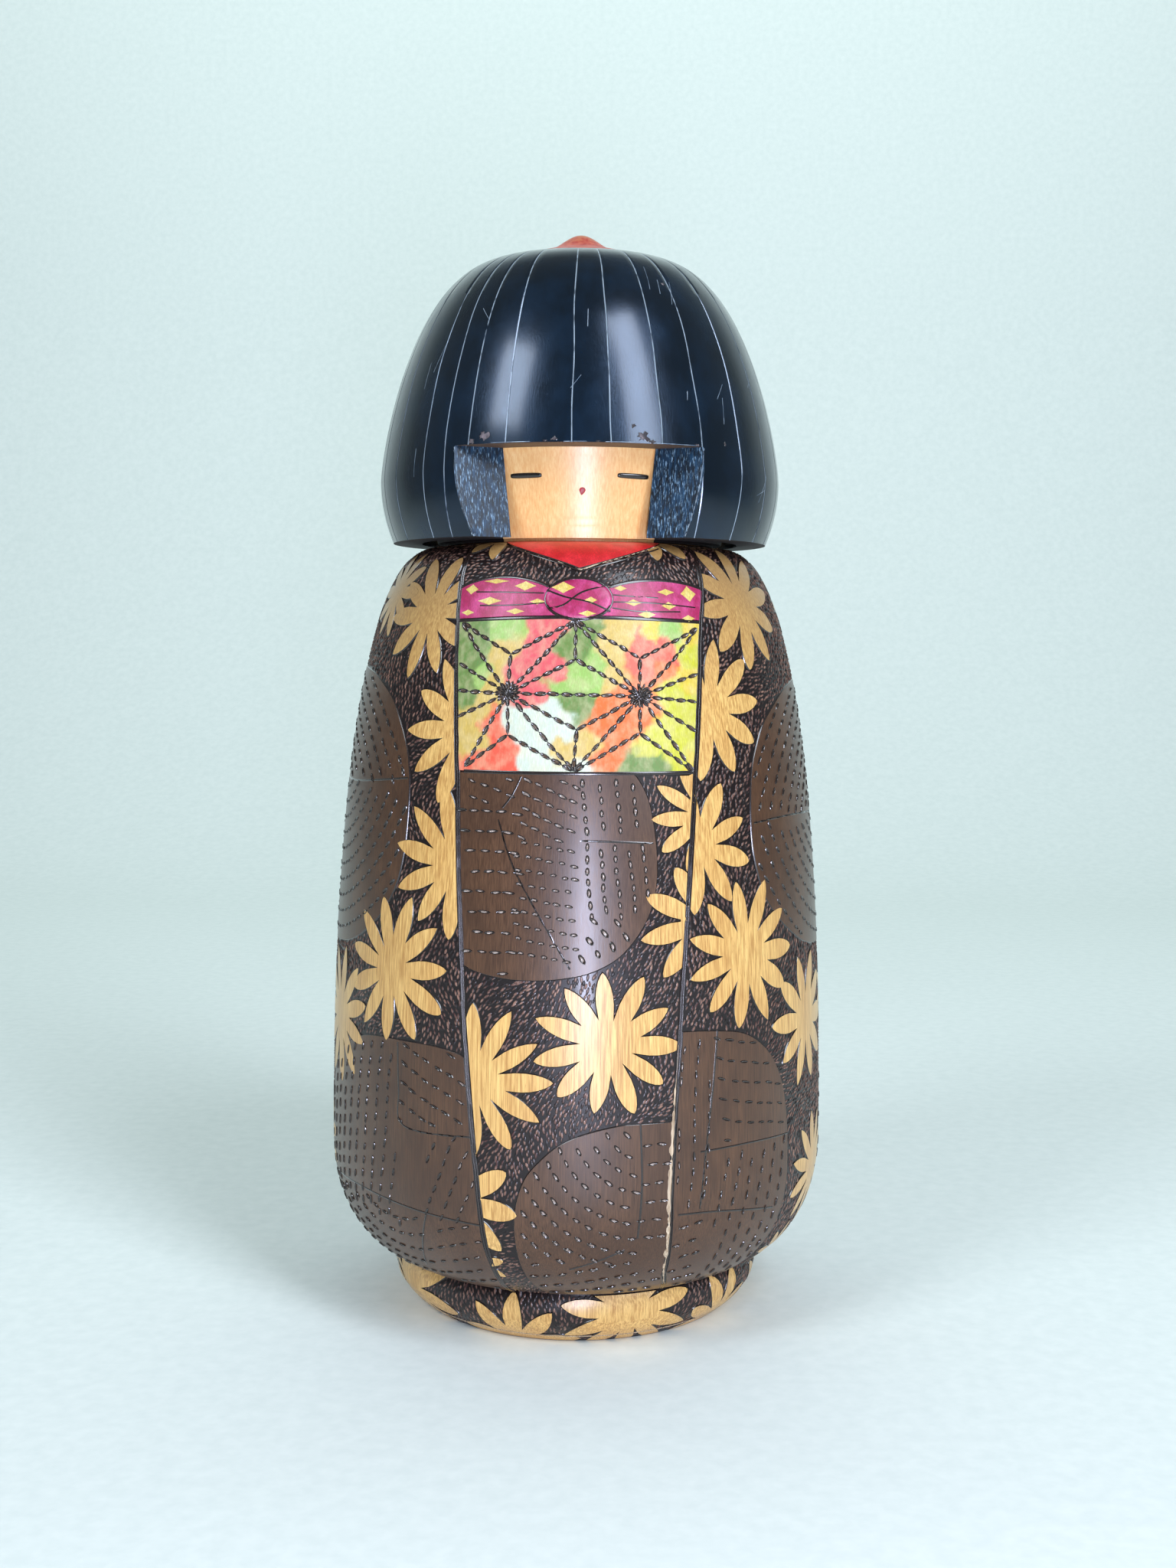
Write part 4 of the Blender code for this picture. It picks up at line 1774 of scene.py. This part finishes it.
    def build_hemp_leaf(self) -> None:
        """The hemp-leaf stars: two whole ones side by side, halves above and below, in long stitches."""
        left_star, right_star = (-16.8, 208.6), (15.0, 208.0)
        top, bottom = (-0.6, 230.6), (-0.8, 185.4)
        left_top, right_top = (-31.4, 230.0), (32.4, 228.6)
        left_bottom, right_bottom = (-26.6, 186.0), (27.6, 184.6)
        nodes = {
            (-16.7, 220.4): (left_star, top, left_top),
            (-16.2, 196.0): (left_star, bottom, left_bottom),
            (-0.5, 218.8): (left_star, right_star, top),
            (-0.2, 197.8): (left_star, right_star, bottom),
            (15.4, 219.4): (right_star, top, right_top),
            (14.6, 196.8): (right_star, bottom, right_bottom),
        }
        lines = [
            (left_star, top), (left_star, bottom), (left_star, right_star), (left_star, left_top),
            (left_star, left_bottom), (right_star, top), (right_star, bottom), (right_star, right_top),
            (right_star, right_bottom), (left_star, (-30.2, 209.0)), (right_star, (29.8, 206.0)),
            (left_star, (-29.6, 201.0)), (right_star, (28.9, 197.0)), (left_star, (-30.6, 217.5)),
            (right_star, (30.9, 214.8)),
        ]  # fmt: skip
        for node, corners in nodes.items():
            lines += [(node, corner) for corner in corners]
        spots = []
        for start, end in lines:
            spots += self.chain(start, end, 4.0, 1.45)
        for star in (left_star, right_star):
            for i in range(12):
                turn = math.radians(30.0 * i + 8.0)
                spots += self.chain(
                    (star[0] + 0.6 * math.cos(turn), star[1] + 0.8 * math.sin(turn)),
                    (star[0] + 3.4 * math.cos(turn), star[1] + 4.0 * math.sin(turn)),
                    4.4, 1.0,
                )  # fmt: skip
        mesh = scatter("hemp_leaf", stitch_template(0.22 * MM), spots, self.surface, 0.01 * MM)
        thin = [(-0.18 * MM, -0.02 * MM), (0.0, 0.10 * MM), (0.18 * MM, -0.02 * MM)]
        for start, end in lines:
            ribbon(self.surface, smooth_path([start, end], self.surface, 2.0 * MM), thin, mesh)
        finish_piece("hemp_leaf_stitches", mesh, [self.palette.hot_line, self.palette.amber], "body", 60.0)

    def diamond(self, angle: float, height: float, wide: float, tall: float, lift: float) -> BMesh:
        """A small diamond plate with slightly hollow sides; sizes in mm."""
        flat = bmesh.new()
        outline = []
        for i in range(24):
            turn = 2.0 * math.pi * i / 24
            x = math.copysign(abs(math.cos(turn)) ** 2.3, math.cos(turn))
            y = math.copysign(abs(math.sin(turn)) ** 2.1, math.sin(turn))
            outline.append((0.55 * wide * MM * x, 0.62 * tall * MM * y))
        flat_face(flat, outline)
        for vert in flat.verts:
            vert.co.z = 0.05 * MM
        bend_lines(flat, 2.5 * MM)
        wrap(flat.verts, self.surface, angle, height * MM, lift)
        return flat

    def build_cord(self) -> None:
        """The magenta cord, its round knot and its yellow dots."""
        low = lambda a: 231.1 + 1.2 * math.cos(math.radians(a * 2.6))
        mesh = self.band(low, sash_top, 18, 0.02 * MM, 120)
        knot = bmesh.new()
        outline = []
        for i in range(48):
            turn = 2.0 * math.pi * i / 48
            outline.append((10.4 * MM * math.cos(turn), 6.6 * MM * math.sin(turn)))
        flat_face(knot, outline)
        raise_plates(knot, 0.42 * MM, 1.0 * MM)
        bend_lines(knot, 2.5 * MM)
        wrap(knot.verts, self.surface, 0.2, 237.4 * MM, -0.05 * MM)
        join(mesh, knot)
        finish_piece("sash_cord", mesh, [self.palette.magenta, self.palette.magenta], "body")
        dots = (
            (-30.6, 240.2, 4.4, 2.8), (-23.4, 242.7, 8.0, 1.4), (-14.6, 241.2, 6.4, 2.6), (-24.4, 236.6, 7.6, 2.2),
            (-10.8, 236.4, 4.6, 1.6), (-30.4, 233.0, 4.4, 1.6), (-16.6, 233.4, 5.4, 1.6), (14.8, 236.2, 5.0, 1.8),
            (24.6, 239.6, 5.4, 1.8), (31.6, 239.2, 5.2, 4.4), (24.8, 235.4, 4.6, 2.2), (18.2, 232.6, 5.4, 2.2),
            (30.2, 231.6, 4.4, 1.8), (11.6, 240.6, 3.6, 1.6),
        )  # fmt: skip
        mesh = bmesh.new()
        for angle, height, wide, tall in dots:
            join(mesh, self.diamond(angle, height, wide, tall, 0.0))
        for angle, height, wide, tall in ((-4.0, 240.6, 6.6, 3.2), (3.4, 236.8, 3.6, 1.8), (2.4, 232.7, 5.0, 1.6)):
            join(mesh, self.diamond(angle, height, wide, tall, 0.36 * MM))
        finish_piece("sash_dots", mesh, [self.palette.yellow], "body")

    def build_collar(self) -> None:
        """The scarlet collar that meets in a V under the chin."""
        surface = self.surface
        flat = bmesh.new()
        start = surface.arc(246.0 * MM)
        outline = []
        for i in range(41):
            angle = -28.0 + 59.4 * i / 40.0
            height = collar_edge(angle) * MM
            outline.append((math.radians(angle) * surface.radius(height), surface.arc(height) - start))
        top = surface.length - 0.1 * MM - start
        for i in range(31):
            angle = 31.4 - 59.4 * i / 30.0
            outline.append((math.radians(angle) * 46.4 * MM, top))
        flat_face(flat, outline)
        raise_plates(flat, -FLOOR, 0.25 * MM)
        bend_lines(flat, 1.5 * MM)
        wrap(flat.verts, surface, 0.0, 246.0 * MM, FLOOR + 0.2 * MM)
        finish_piece("collar", flat, [self.palette.collar, self.palette.hot_line], "body")
        piping = bmesh.new()
        section = [(-0.24 * MM, -0.05 * MM), (0.0, 0.12 * MM), (0.24 * MM, -0.05 * MM)]
        edge = [(-6.0, 248.8), (-2.0, 247.0), (0.8, 246.4)] + [(a, collar_edge(a)) for a in (6.0, 13.0, 20.0, 26.0)]
        ribbon(surface, smooth_path(edge, surface, 1.2 * MM), section, piping)
        finish_piece("collar_piping", piping, [self.palette.pale], "body", 70.0)

    def build_outlines(self) -> None:
        """The burnt outlines of sash, cord, knot and collar, and the folds of the cord."""
        surface = self.surface
        mesh = bmesh.new()
        bold = [(-0.62 * MM, -0.1 * MM), (-0.36 * MM, 0.16 * MM), (0.0, 0.02 * MM), (0.36 * MM, 0.16 * MM), (0.62 * MM, -0.1 * MM)]
        fine = [(-0.3 * MM, -0.02 * MM), (0.0, 0.14 * MM), (0.3 * MM, -0.02 * MM)]
        raised = [(x, z + 0.36 * MM) for x, z in fine]

        def edge(angle_from: float, angle_to: float, height: Callable, off: float = 0.0) -> list[Point]:
            count = 16
            span = [angle_from + (angle_to - angle_from) * i / count for i in range(count + 1)]
            return [(a, height(a) + off) for a in span]

        belt = lambda a: 230.4 + 1.2 * math.cos(math.radians(a * 2.6))
        jobs = [
            (edge(-32.6, 33.4, belt), bold),
            (edge(-26.6, 27.7, lambda a: 184.7), bold),
            (edge(-34.4, -8.0, sash_top, 0.3), bold),
            (edge(8.8, 36.6, sash_top, 0.3), bold),
            (edge(-24.0, 0.3, collar_edge, -0.5), fine),
            (edge(0.3, 27.0, collar_edge, -0.8), fine),
            (((-29.0, 239.4), (-20.0, 239.3), (-9.2, 239.0)), fine),
            (((-27.0, 235.2), (-18.0, 235.3), (-9.0, 236.0)), fine),
            (((9.4, 238.6), (14.0, 238.2), (22.0, 237.8)), fine),
            (((9.0, 236.4), (20.0, 236.2), (33.0, 235.0)), fine),
            (((9.0, 234.6), (16.0, 233.6), (28.0, 233.6)), fine),
            (((-8.0, 234.2), (-4.0, 235.2), (1.0, 239.2), (7.4, 241.2)), raised),
            (((-8.4, 239.8), (-3.0, 237.6), (3.0, 236.2), (8.4, 233.4)), raised),
        ]
        ring = []
        for i in range(33):
            turn = 2.0 * math.pi * i / 32
            ring.append((0.2 + 8.85 * math.cos(turn), 237.4 + 6.4 * math.sin(turn)))
        jobs.append((ring, bold))
        for points, section in jobs:
            ribbon(surface, smooth_path(points, surface, 1.3 * MM), section, mesh)
        finish_piece("sash_outlines", mesh, [self.palette.hot_line], "body", 70.0)

    def build(self) -> None:
        """Builds every part of the sash and the collar."""
        self.build_field()
        self.build_hemp_leaf()
        self.build_cord()
        self.build_collar()
        self.build_outlines()


# ---------------------------------------------------------------- the head


@dataclass
class Face:
    """The bare wooden core with its painted eyes and mouth."""

    palette: Palette

    def build_core(self) -> None:
        """The turned core, with the faint rings the lathe left by the chin."""
        low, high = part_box("face_core")
        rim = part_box("hair_shell")[0].z
        brow = rim + 27.8 * MM
        cone = []
        count = 44
        for i in range(count + 1):
            share = i / count
            height = brow + (rim - brow) * share
            radius = (53.0 - 5.0 * share) * MM
            for ring in (3.2, 5.6, 24.6):
                off = (height - rim) / MM - ring
                radius -= 0.07 * MM * math.exp(-((off / 0.5) ** 2))
            cone.append((radius, height))
        outline = (
            [(0.0, high.z), (51.5 * MM, high.z), (53.0 * MM, high.z - 1.5 * MM)]
            + cone
            + [
                (45.6 * MM, rim), (45.2 * MM, rim - 0.3 * MM), (45.2 * MM, low.z), (9.4 * MM, low.z),
                (9.4 * MM, low.z + 27.6 * MM), (0.0, low.z + 27.6 * MM),
            ]
        )  # fmt: skip
        mesh = bmesh.new()
        spin_outline(mesh, outline, 192)
        # Painted shade: faces by the rim at the sides and back, under the hair, take the flat black.
        for face in mesh.faces:
            middle = face.calc_center_median()
            hidden = abs(middle.x) > 24.0 * MM or middle.y > 0.0
            face.material_index = 1 if middle.z < rim + 1.3 * MM and hidden else 0
        core = finish_piece("face", mesh, [self.palette.face, self.palette.shade_black], "head")
        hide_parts("face_core")

    def build_features(self) -> None:
        """Two closed eyes, each one straight stroke with fuller ends, and a small red mouth."""
        surface = face_surface()
        eyes = bmesh.new()
        for angle, lean in ((-18.9, 0.4), (19.3, -1.6)):
            flat = bmesh.new()
            outline = []
            half = 5.25
            for i in range(56):
                turn = 2.0 * math.pi * i / 56
                x = half * math.copysign(abs(math.cos(turn)) ** 0.6, math.cos(turn))
                full = 0.86 + 0.20 * abs(x / half) ** 6
                y = full * math.copysign(abs(math.sin(turn)) ** 0.55, math.sin(turn))
                tilt = math.radians(lean)
                outline.append(
                    ((x * math.cos(tilt) - y * math.sin(tilt)) * MM, (x * math.sin(tilt) + y * math.cos(tilt)) * MM)
                )
            flat_face(flat, outline)
            raise_plates(flat, 0.34 * MM, 0.30 * MM)
            bend_lines(flat, 1.5 * MM)
            wrap(flat.verts, surface, angle, 275.9 * MM, -0.03 * MM)
            join(eyes, flat)
        finish_piece("eyes", eyes, [self.palette.enamel, self.palette.enamel], "head", 60.0)
        mouth = bmesh.new()
        outline = []
        for i in range(28):
            turn = 2.0 * math.pi * i / 28
            x, y = 1.02 * math.cos(turn), 0.95 * math.sin(turn)
            if y < 0.0:
                x = x * (1.0 + 0.45 * y) - 0.30 * y * y
                y *= 1.55
            outline.append((x * MM, y * MM))
        flat_face(mouth, outline)
        raise_plates(mouth, 0.08 * MM, 0.12 * MM)
        wrap(mouth.verts, surface, 1.2, 271.3 * MM, -0.01 * MM)
        finish_piece("mouth", mouth, [self.palette.lip, self.palette.lip], "head", 60.0)

    def build(self) -> None:
        """Builds the face."""
        self.build_core()
        self.build_features()


@dataclass
class Hair:
    """The lacquered bell of hair, with its engraved lines and the window cut for the face."""

    palette: Palette
    groove: float = 0.30 * MM  # half width of an engraved line
    depth: float = 0.22 * MM

    def __post_init__(self) -> None:
        """Settles the frame's heights and the angles of the engraved lines."""
        self.surface = hair_surface()
        self.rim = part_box("hair_shell")[0].z
        self.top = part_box("hair_shell")[1].z
        self.fringe = self.rim + 27.8 * MM
        chance = random.Random(5)
        lines = [-72.5, -61.7, -47.0, -39.0, -31.0, -20.0, -1.7, 8.6, 22.7, 35.0, 50.0, 63.4]
        angle = 63.4
        while angle < 272.0:
            angle += chance.uniform(9.6, 14.2)
            lines.append(angle)
        self.lines = sorted(lines)

    def column_angle(self, index: int, radius: float) -> tuple[float, bool]:
        """The angle of a column of points, and whether it runs along the bottom of a line.

        Args:
            index: the column, eight to each line.
            radius: the points' radius there, since a line keeps its width.

        Returns:
            The angle in radians, and whether the column is cut in.
        """
        line, place = divmod(index, 8)
        here = self.lines[line % len(self.lines)]
        after = self.lines[(line + 1) % len(self.lines)]
        span = (after - here) % 360.0
        lip = math.degrees(self.groove / max(radius, 5.0 * MM))
        if place in (0, 1, 7):
            off = {0: 0.0, 1: lip, 7: span - lip}[place]
        else:
            off = span * (0.16 + 0.68 * (place - 2) / 4.0)
        return math.radians(here + off), place == 0

    def wall_points(self, side: float) -> tuple[Vector, Vector, Vector, Vector]:
        """The four corners of a window wall: inner and outer at the brow, inner and outer at the rim."""
        hollow = 53.3 * MM
        outer_brow = self.surface.radius(self.fringe)

        def corner(radius: float, angle: float, height: float) -> Vector:
            turn = math.radians(side * angle)
            return Vector((radius * math.sin(turn), -radius * math.cos(turn), height))

        return (
            corner(hollow, 26.7, self.fringe),
            corner(outer_brow, 35.3, self.fringe),
            corner(hollow, 23.3, self.rim),
            corner(62.9 * MM, 31.2, self.rim),
        )

    def wall_plane(self, side: float) -> tuple[Vector, Vector]:
        """A point on a window wall, and its normal towards the window."""
        brow_in, brow_out, rim_in, rim_out = self.wall_points(side)
        normal = (brow_out - rim_in).cross(rim_out - brow_in).normalized()
        if normal.x * side > 0.0:
            normal.negate()
        return (brow_in + brow_out + rim_in + rim_out) / 4.0, normal

    def build_shell(self) -> None:
        """The bell: spun with eight columns to each line, the lines sunk, the window cut and walled."""
        surface = self.surface
        hollow, roof = 53.3 * MM, self.fringe + 7.3 * MM
        hole, floor = 7.9 * MM, self.top - 18.3 * MM
        outer = []
        count = 96
        for i in range(count + 1):
            radius, height, _, _ = surface.sample(surface.length * (count - i) / count)
            outer.append((radius, height))
        outline = [(0.0, floor), (hole, floor), (hole, self.top)] + outer
        outline += [(hollow, self.rim), (hollow, self.fringe - 2.0 * MM), (hollow, roof), (0.0, roof)]
        mesh = bmesh.new()
        columns = 8 * len(self.lines)
        spin_outline(mesh, outline, columns)
        cut_layer = mesh.verts.layers.float.new("cut")
        for vert in mesh.verts:
            radius = math.hypot(vert.co.x, vert.co.y)
            if radius < 1.0 * MM:
                continue
            index = round(math.atan2(vert.co.y, vert.co.x) / (2.0 * math.pi) * columns) % columns
            angle, sunk = self.column_angle(index, radius)
            if index % 8 in (0, 1, 7):
                line = (index + 1) // 8 % len(self.lines)
                angle += 0.5 * MM / radius * noise.noise(Vector((line * 3.7, vert.co.z * 55.0, 0.5)))
            outside = radius > hollow + 2.0 * MM or vert.co.z > roof + 1.0 * MM and radius > 21.5 * MM
            if sunk and outside:
                radius -= self.depth
                vert[cut_layer] = 1.0
            vert.co.x, vert.co.y = radius * math.sin(angle), -radius * math.cos(angle)
        # Painted shade: the faces under the rim take the flat black.
        for face in mesh.faces:
            face.material_index = 3 if face.calc_center_median().z < self.rim + 0.05 * MM else 0
        bmesh.ops.recalc_face_normals(mesh, faces=mesh.faces[:])
        self.open_window(mesh)
        finishes = [self.palette.lacquer, self.palette.cut_wall, self.palette.shade_dark_wood, self.palette.shade_black]
        shell = finish_piece("hair", mesh, finishes, "head", 32.0)
        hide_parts("hair_shell")

    def open_window(self, mesh: BMesh) -> None:
        """Cuts the window along its three planes, takes its faces out and walls the cut."""
        cut(mesh, Vector((0.0, 0.0, self.fringe)), Vector((0.0, 0.0, 1.0)))
        planes = [self.wall_plane(side) for side in (-1.0, 1.0)]
        for (place, normal), side in zip(planes, (-1.0, 1.0)):
            near = [
                face
                for face in mesh.faces
                if face.calc_center_median().y < 0.0
                and face.calc_center_median().x * side > 0.0
                and face.calc_center_median().z < self.fringe + 0.01 * MM
            ]
            edges = {edge for face in near for edge in face.edges}
            verts = {vert for face in near for vert in face.verts}
            bmesh.ops.bisect_plane(
                mesh, geom=list(verts) + list(edges) + near, dist=1e-7, plane_co=place, plane_no=normal
            )
        gone = []
        for face in mesh.faces:
            middle = face.calc_center_median()
            if middle.y < -20.0 * MM and middle.z < self.fringe - 1e-6:
                if all((middle - place).dot(normal) > 1e-7 for place, normal in planes):
                    gone.append(face)
        bmesh.ops.delete(mesh, geom=gone, context="FACES")
        rim_edges = [edge for edge in mesh.edges if edge.is_boundary]
        level = lambda edge: all(abs(v.co.z - self.fringe) < 1e-6 for v in edge.verts)
        fringe = [edge for edge in rim_edges if level(edge)]
        walls = [edge for edge in rim_edges if not level(edge)]
        for side in (-1.0, 1.0):
            wall = [edge for edge in walls if sum(v.co.x for v in edge.verts) * side > 0.0]
            verts = {v for edge in wall for v in edge.verts}
            ends = [v for v in verts if sum(1 for edge in wall if v in edge.verts) == 1]
            bridge = mesh.edges.new(ends)
            fringe.append(bridge)
            made = bmesh.ops.contextual_create(mesh, geom=wall + [bridge])["faces"]
            for face in made:
                face.material_index = 1
        # Painted shade: the fringe's underside takes the dark wood.
        made = bmesh.ops.contextual_create(mesh, geom=fringe)["faces"]
        for face in made:
            face.material_index = 2
        bmesh.ops.recalc_face_normals(mesh, faces=mesh.faces[:])

    def build_wear(self) -> None:
        """Chips at the fringe, painted highlights along the window's edges and the fringe, and a few light scratches.
        """
        surface, chance = self.surface, random.Random(23)
        chips = bmesh.new()
        spots = (
            (-26.5, 2.4, 5.0, 4.4), (-30.0, 0.8, 3.0, 2.4), (-6.6, 1.1, 3.0, 2.0), (17.4, 2.0, 4.6, 4.2),
            (14.6, 5.2, 2.0, 1.6), (19.8, 0.6, 3.0, 1.6), (33.4, 0.4, 2.4, 1.2), (43.6, 1.6, 1.4, 1.8),
            (33.0, 52.0, 2.0, 1.4), (-9.0, 0.5, 2.0, 0.9), (5.0, 0.4, 1.6, 0.7), (118.0, -24.5, 3.0, 1.8),
        )  # fmt: skip
        for angle, above, wide, tall in spots:
            flat = bmesh.new()
            outline = []
            for i in range(18):
                turn = 2.0 * math.pi * i / 18
                rough = chance.uniform(0.16, 0.52)
                outline.append((wide * rough * MM * math.cos(turn), tall * rough * MM * math.sin(turn)))
            flat_face(flat, outline)
            height = self.fringe + above * MM
            if 0.0 <= above < 6.0:
                edge = surface.arc(self.fringe) - surface.arc(height)
                cut(flat, Vector((0.0, edge, 0.0)), Vector((0.0, -1.0, 0.0)), clear=True)
            raise_plates(flat, 0.06 * MM, 0.12 * MM)
            bend_lines(flat, 1.5 * MM)
            wrap(flat.verts, surface, angle, height, 0.0)
            join(chips, flat)
        finish_piece("fringe_chips", chips, [self.palette.chip, self.palette.hot_line], "head")
        scratches_and_edge_sheen = bmesh.new()
        rim, brow = self.rim / MM, self.fringe / MM
        narrow = [(-0.24 * MM, -0.02 * MM), (0.0, 0.07 * MM), (0.24 * MM, -0.02 * MM)]
        hair = [(-0.10 * MM, -0.01 * MM), (0.0, 0.03 * MM), (0.10 * MM, -0.01 * MM)]
        # Painted highlights: pale strips down the outer edges of the window walls.
        for side in (-1.0, 1.0):
            corner, low = (side * 35.6, brow - 0.4), (side * 31.6, rim + 0.4)
            path = smooth_path([corner, ((corner[0] + low[0]) / 2.0, (brow + rim) / 2.0), low], surface, 1.0 * MM)
            ribbon(surface, path, narrow, scratches_and_edge_sheen)
        # Painted highlights: pale strips along the fringe's edge.
        for start, end in ((-24.0, -13.0), (-4.0, 2.0), (7.0, 15.0), (21.0, 34.0)):
            ribbon(surface, smooth_path([(start, brow + 0.2), (end, brow + 0.25)], surface, 1.5 * MM), hair, scratches_and_edge_sheen)
        for _ in range(46):
            angle, height = chance.uniform(-180.0, 180.0), chance.uniform(rim + 4.0, rim + 78.0)
            if abs(angle) < 38.0 and height < brow + 4.0:
                continue
            end = (angle + chance.uniform(-5.0, 5.0), height + chance.uniform(2.0, 9.0))
            ribbon(surface, smooth_path([(angle, height), end], surface, 1.5 * MM), hair, scratches_and_edge_sheen)
        finish_piece("scratches_and_edge_sheen", scratches_and_edge_sheen, [self.palette.scratch_and_edge_sheen], "head", 70.0)

    def build(self) -> None:
        """Builds the hair."""
        self.build_shell()
        self.build_wear()


@dataclass
class Crown:
    """The worn red disc on the crown, with its bell-shaped nub."""

    palette: Palette

    def build(self) -> None:
        """The turned cap with its tenon."""
        low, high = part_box("crown_cap")
        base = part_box("hair_shell")[1].z + 0.3 * MM
        reach, rim, dome, nub = 20.5 * MM, 0.8 * MM, 3.8 * MM, 12.0 * MM
        tip = high.z - base - rim - dome
        outline = []
        for i in range(45):
            radius = reach * i / 45.0
            lift = dome * (1.0 - (radius / reach) ** 2)
            lift += tip * 0.5 * (1.0 + math.cos(math.pi * min(radius / nub, 1.0)))
            outline.append((radius, base + rim + lift))
        outline += [
            (reach - 0.15 * MM, base + rim - 0.05 * MM), (reach, base + rim - 0.25 * MM),
            (reach, base + 0.3 * MM), (reach - 0.15 * MM, base),
            (7.6 * MM, base), (7.6 * MM, low.z), (0.0, low.z),
        ]  # fmt: skip
        mesh = bmesh.new()
        spin_outline(mesh, outline, 128)
        for face in mesh.faces:
            face.material_index = 1 if face.calc_center_median().z < base + 0.35 * MM else 0
        cap = finish_piece("crown", mesh, [self.palette.crown, self.palette.pale], "head")
        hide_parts("crown_cap")


# ---------------------------------------------------------------- the studio


@dataclass
class Studio:
    """A pale floor that curves up behind, soft lights and the camera."""

    def build_floor(self) -> None:
        """The floor and backdrop, one smooth sheet."""
        mesh = bmesh.new()
        outline = [Vector((-3.0, -3.0, 0.0)), Vector((-3.0, 0.9, 0.0))]
        for i in range(1, 13):
            turn = 0.5 * math.pi * i / 12.0
            outline.append(Vector((-3.0, 0.9 + 0.6 * math.sin(turn), 0.6 * (1.0 - math.cos(turn)))))
        outline.append(Vector((-3.0, 1.5, 3.0)))
        chain = [mesh.verts.new(point) for point in outline]
        edges = [mesh.edges.new(pair) for pair in zip(chain, chain[1:])]
        swept = bmesh.ops.extrude_edge_only(mesh, edges=edges)["geom"]
        moved = [item for item in swept if isinstance(item, BMVert)]
        bmesh.ops.translate(mesh, verts=moved, vec=(6.0, 0.0, 0.0))
        bmesh.ops.recalc_face_normals(mesh, faces=mesh.faces[:])
        sheet = bpy.data.meshes.new("studio_floor")
        mesh.to_mesh(sheet)
        mesh.free()
        sheet.shade_smooth()
        material, tree, shader = start_material("pale_studio_paper")
        fibre = grain(tree, 6.0 * MM, 1.0, 2.0)
        colour = mix(tree, ramp(tree, fibre, 0.3, 0.7), linear("dfe6e2"), linear("e6ece8"))
        wire(tree, shader, {"Base Color": colour, "Roughness": 0.7})
        sheet.materials.append(material)
        floor = bpy.data.objects.new("studio_floor", sheet)
        bpy.context.scene.collection.objects.link(floor)

    def add_light(self, name: str, place: Vector, aim: Vector, size: Point, watts: float, colour: str) -> None:
        """A soft rectangular lamp.

        Args:
            name: its name.
            place: where it stands.
            aim: what it looks at.
            size: its width and height in metres.
            watts: its power.
            colour: its sRGB colour.
        """
        lamp = bpy.data.lights.new(name, "AREA")
        lamp.shape = "RECTANGLE"
        lamp.size, lamp.size_y = size
        lamp.energy = watts
        lamp.color = linear(colour)[:3]
        holder = bpy.data.objects.new(name, lamp)
        holder.location = place
        holder.rotation_euler = (aim - place).to_track_quat("-Z", "Y").to_euler()
        holder.visible_glossy = name != "backdrop"
        bpy.context.scene.collection.objects.link(holder)

    def build_lights(self) -> None:
        """A tall lamp by the camera, two overhead in front, and a pale surround."""
        middle = Vector((0.0, 0.0, 0.20))
        lamps = (
            ("front_strip", (0.055, -0.80, 0.10), middle, (0.08, 0.24), 4.2, "dfe2ff"),
            ("right_tall", (0.80, -1.05, 1.15), Vector((0.0, 0.0, 0.3)), (0.44, 1.45), 24.0, "eaf2ff"),
            ("left_top", (-0.95, -0.95, 1.25), Vector((0.0, 0.0, 0.3)), (0.50, 0.60), 11.0, "ecf5ff"),
            ("backdrop", (0.0, 0.55, 1.7), Vector((0.0, 1.5, 0.5)), (2.0, 0.4), 12.0, "e4f6f4"),
        )
        for name, place, aim, size, watts, colour in lamps:
            self.add_light(name, Vector(place), aim, size, watts, colour)
        world = bpy.data.worlds.new("pale_surround")
        bpy.context.scene.world = world
        world.use_nodes = True
        back = world.node_tree.nodes["Background"]
        back.inputs["Color"].default_value = linear("dff0f2")
        back.inputs["Strength"].default_value = 0.24

    def build_camera(self) -> None:
        """The camera, a little above the doll's middle and looking slightly down."""
        data = bpy.data.cameras.new("camera")
        data.sensor_width = 36.0
        data.lens = 2350.0 / 2048.0 * 36.0
        camera = bpy.data.objects.new("camera", data)
        camera.location = (0.0031, -0.617, 0.225)
        pitch = math.atan2(1024.0 - 835.0, 2350.0)
        camera.rotation_euler = (math.radians(90.0) - pitch, math.radians(-0.35), 0.0)
        bpy.context.scene.collection.objects.link(camera)
        bpy.context.scene.camera = camera

    def build(self) -> None:
        """Sets up floor, lights, camera and a plain view transform."""
        self.build_floor()
        self.build_lights()
        self.build_camera()
        bpy.context.scene.view_settings.view_transform = "Standard"


def main() -> None:
    """Builds the doll and its studio, piece by piece."""
    logging.basicConfig(level=logging.INFO, format="%(message)s")
    palette = Palette()
    Studio().build()
    Kimono(palette).build()
    Face(palette).build()
    Hair(palette).build()
    Crown(palette).build()
    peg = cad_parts["neck_peg"]
    peg.data.materials.clear()
    peg.data.materials.append(palette.peg)
    log.info("%-24s carried over from the frame", "neck_peg")


if __name__ == "__main__":
    main()
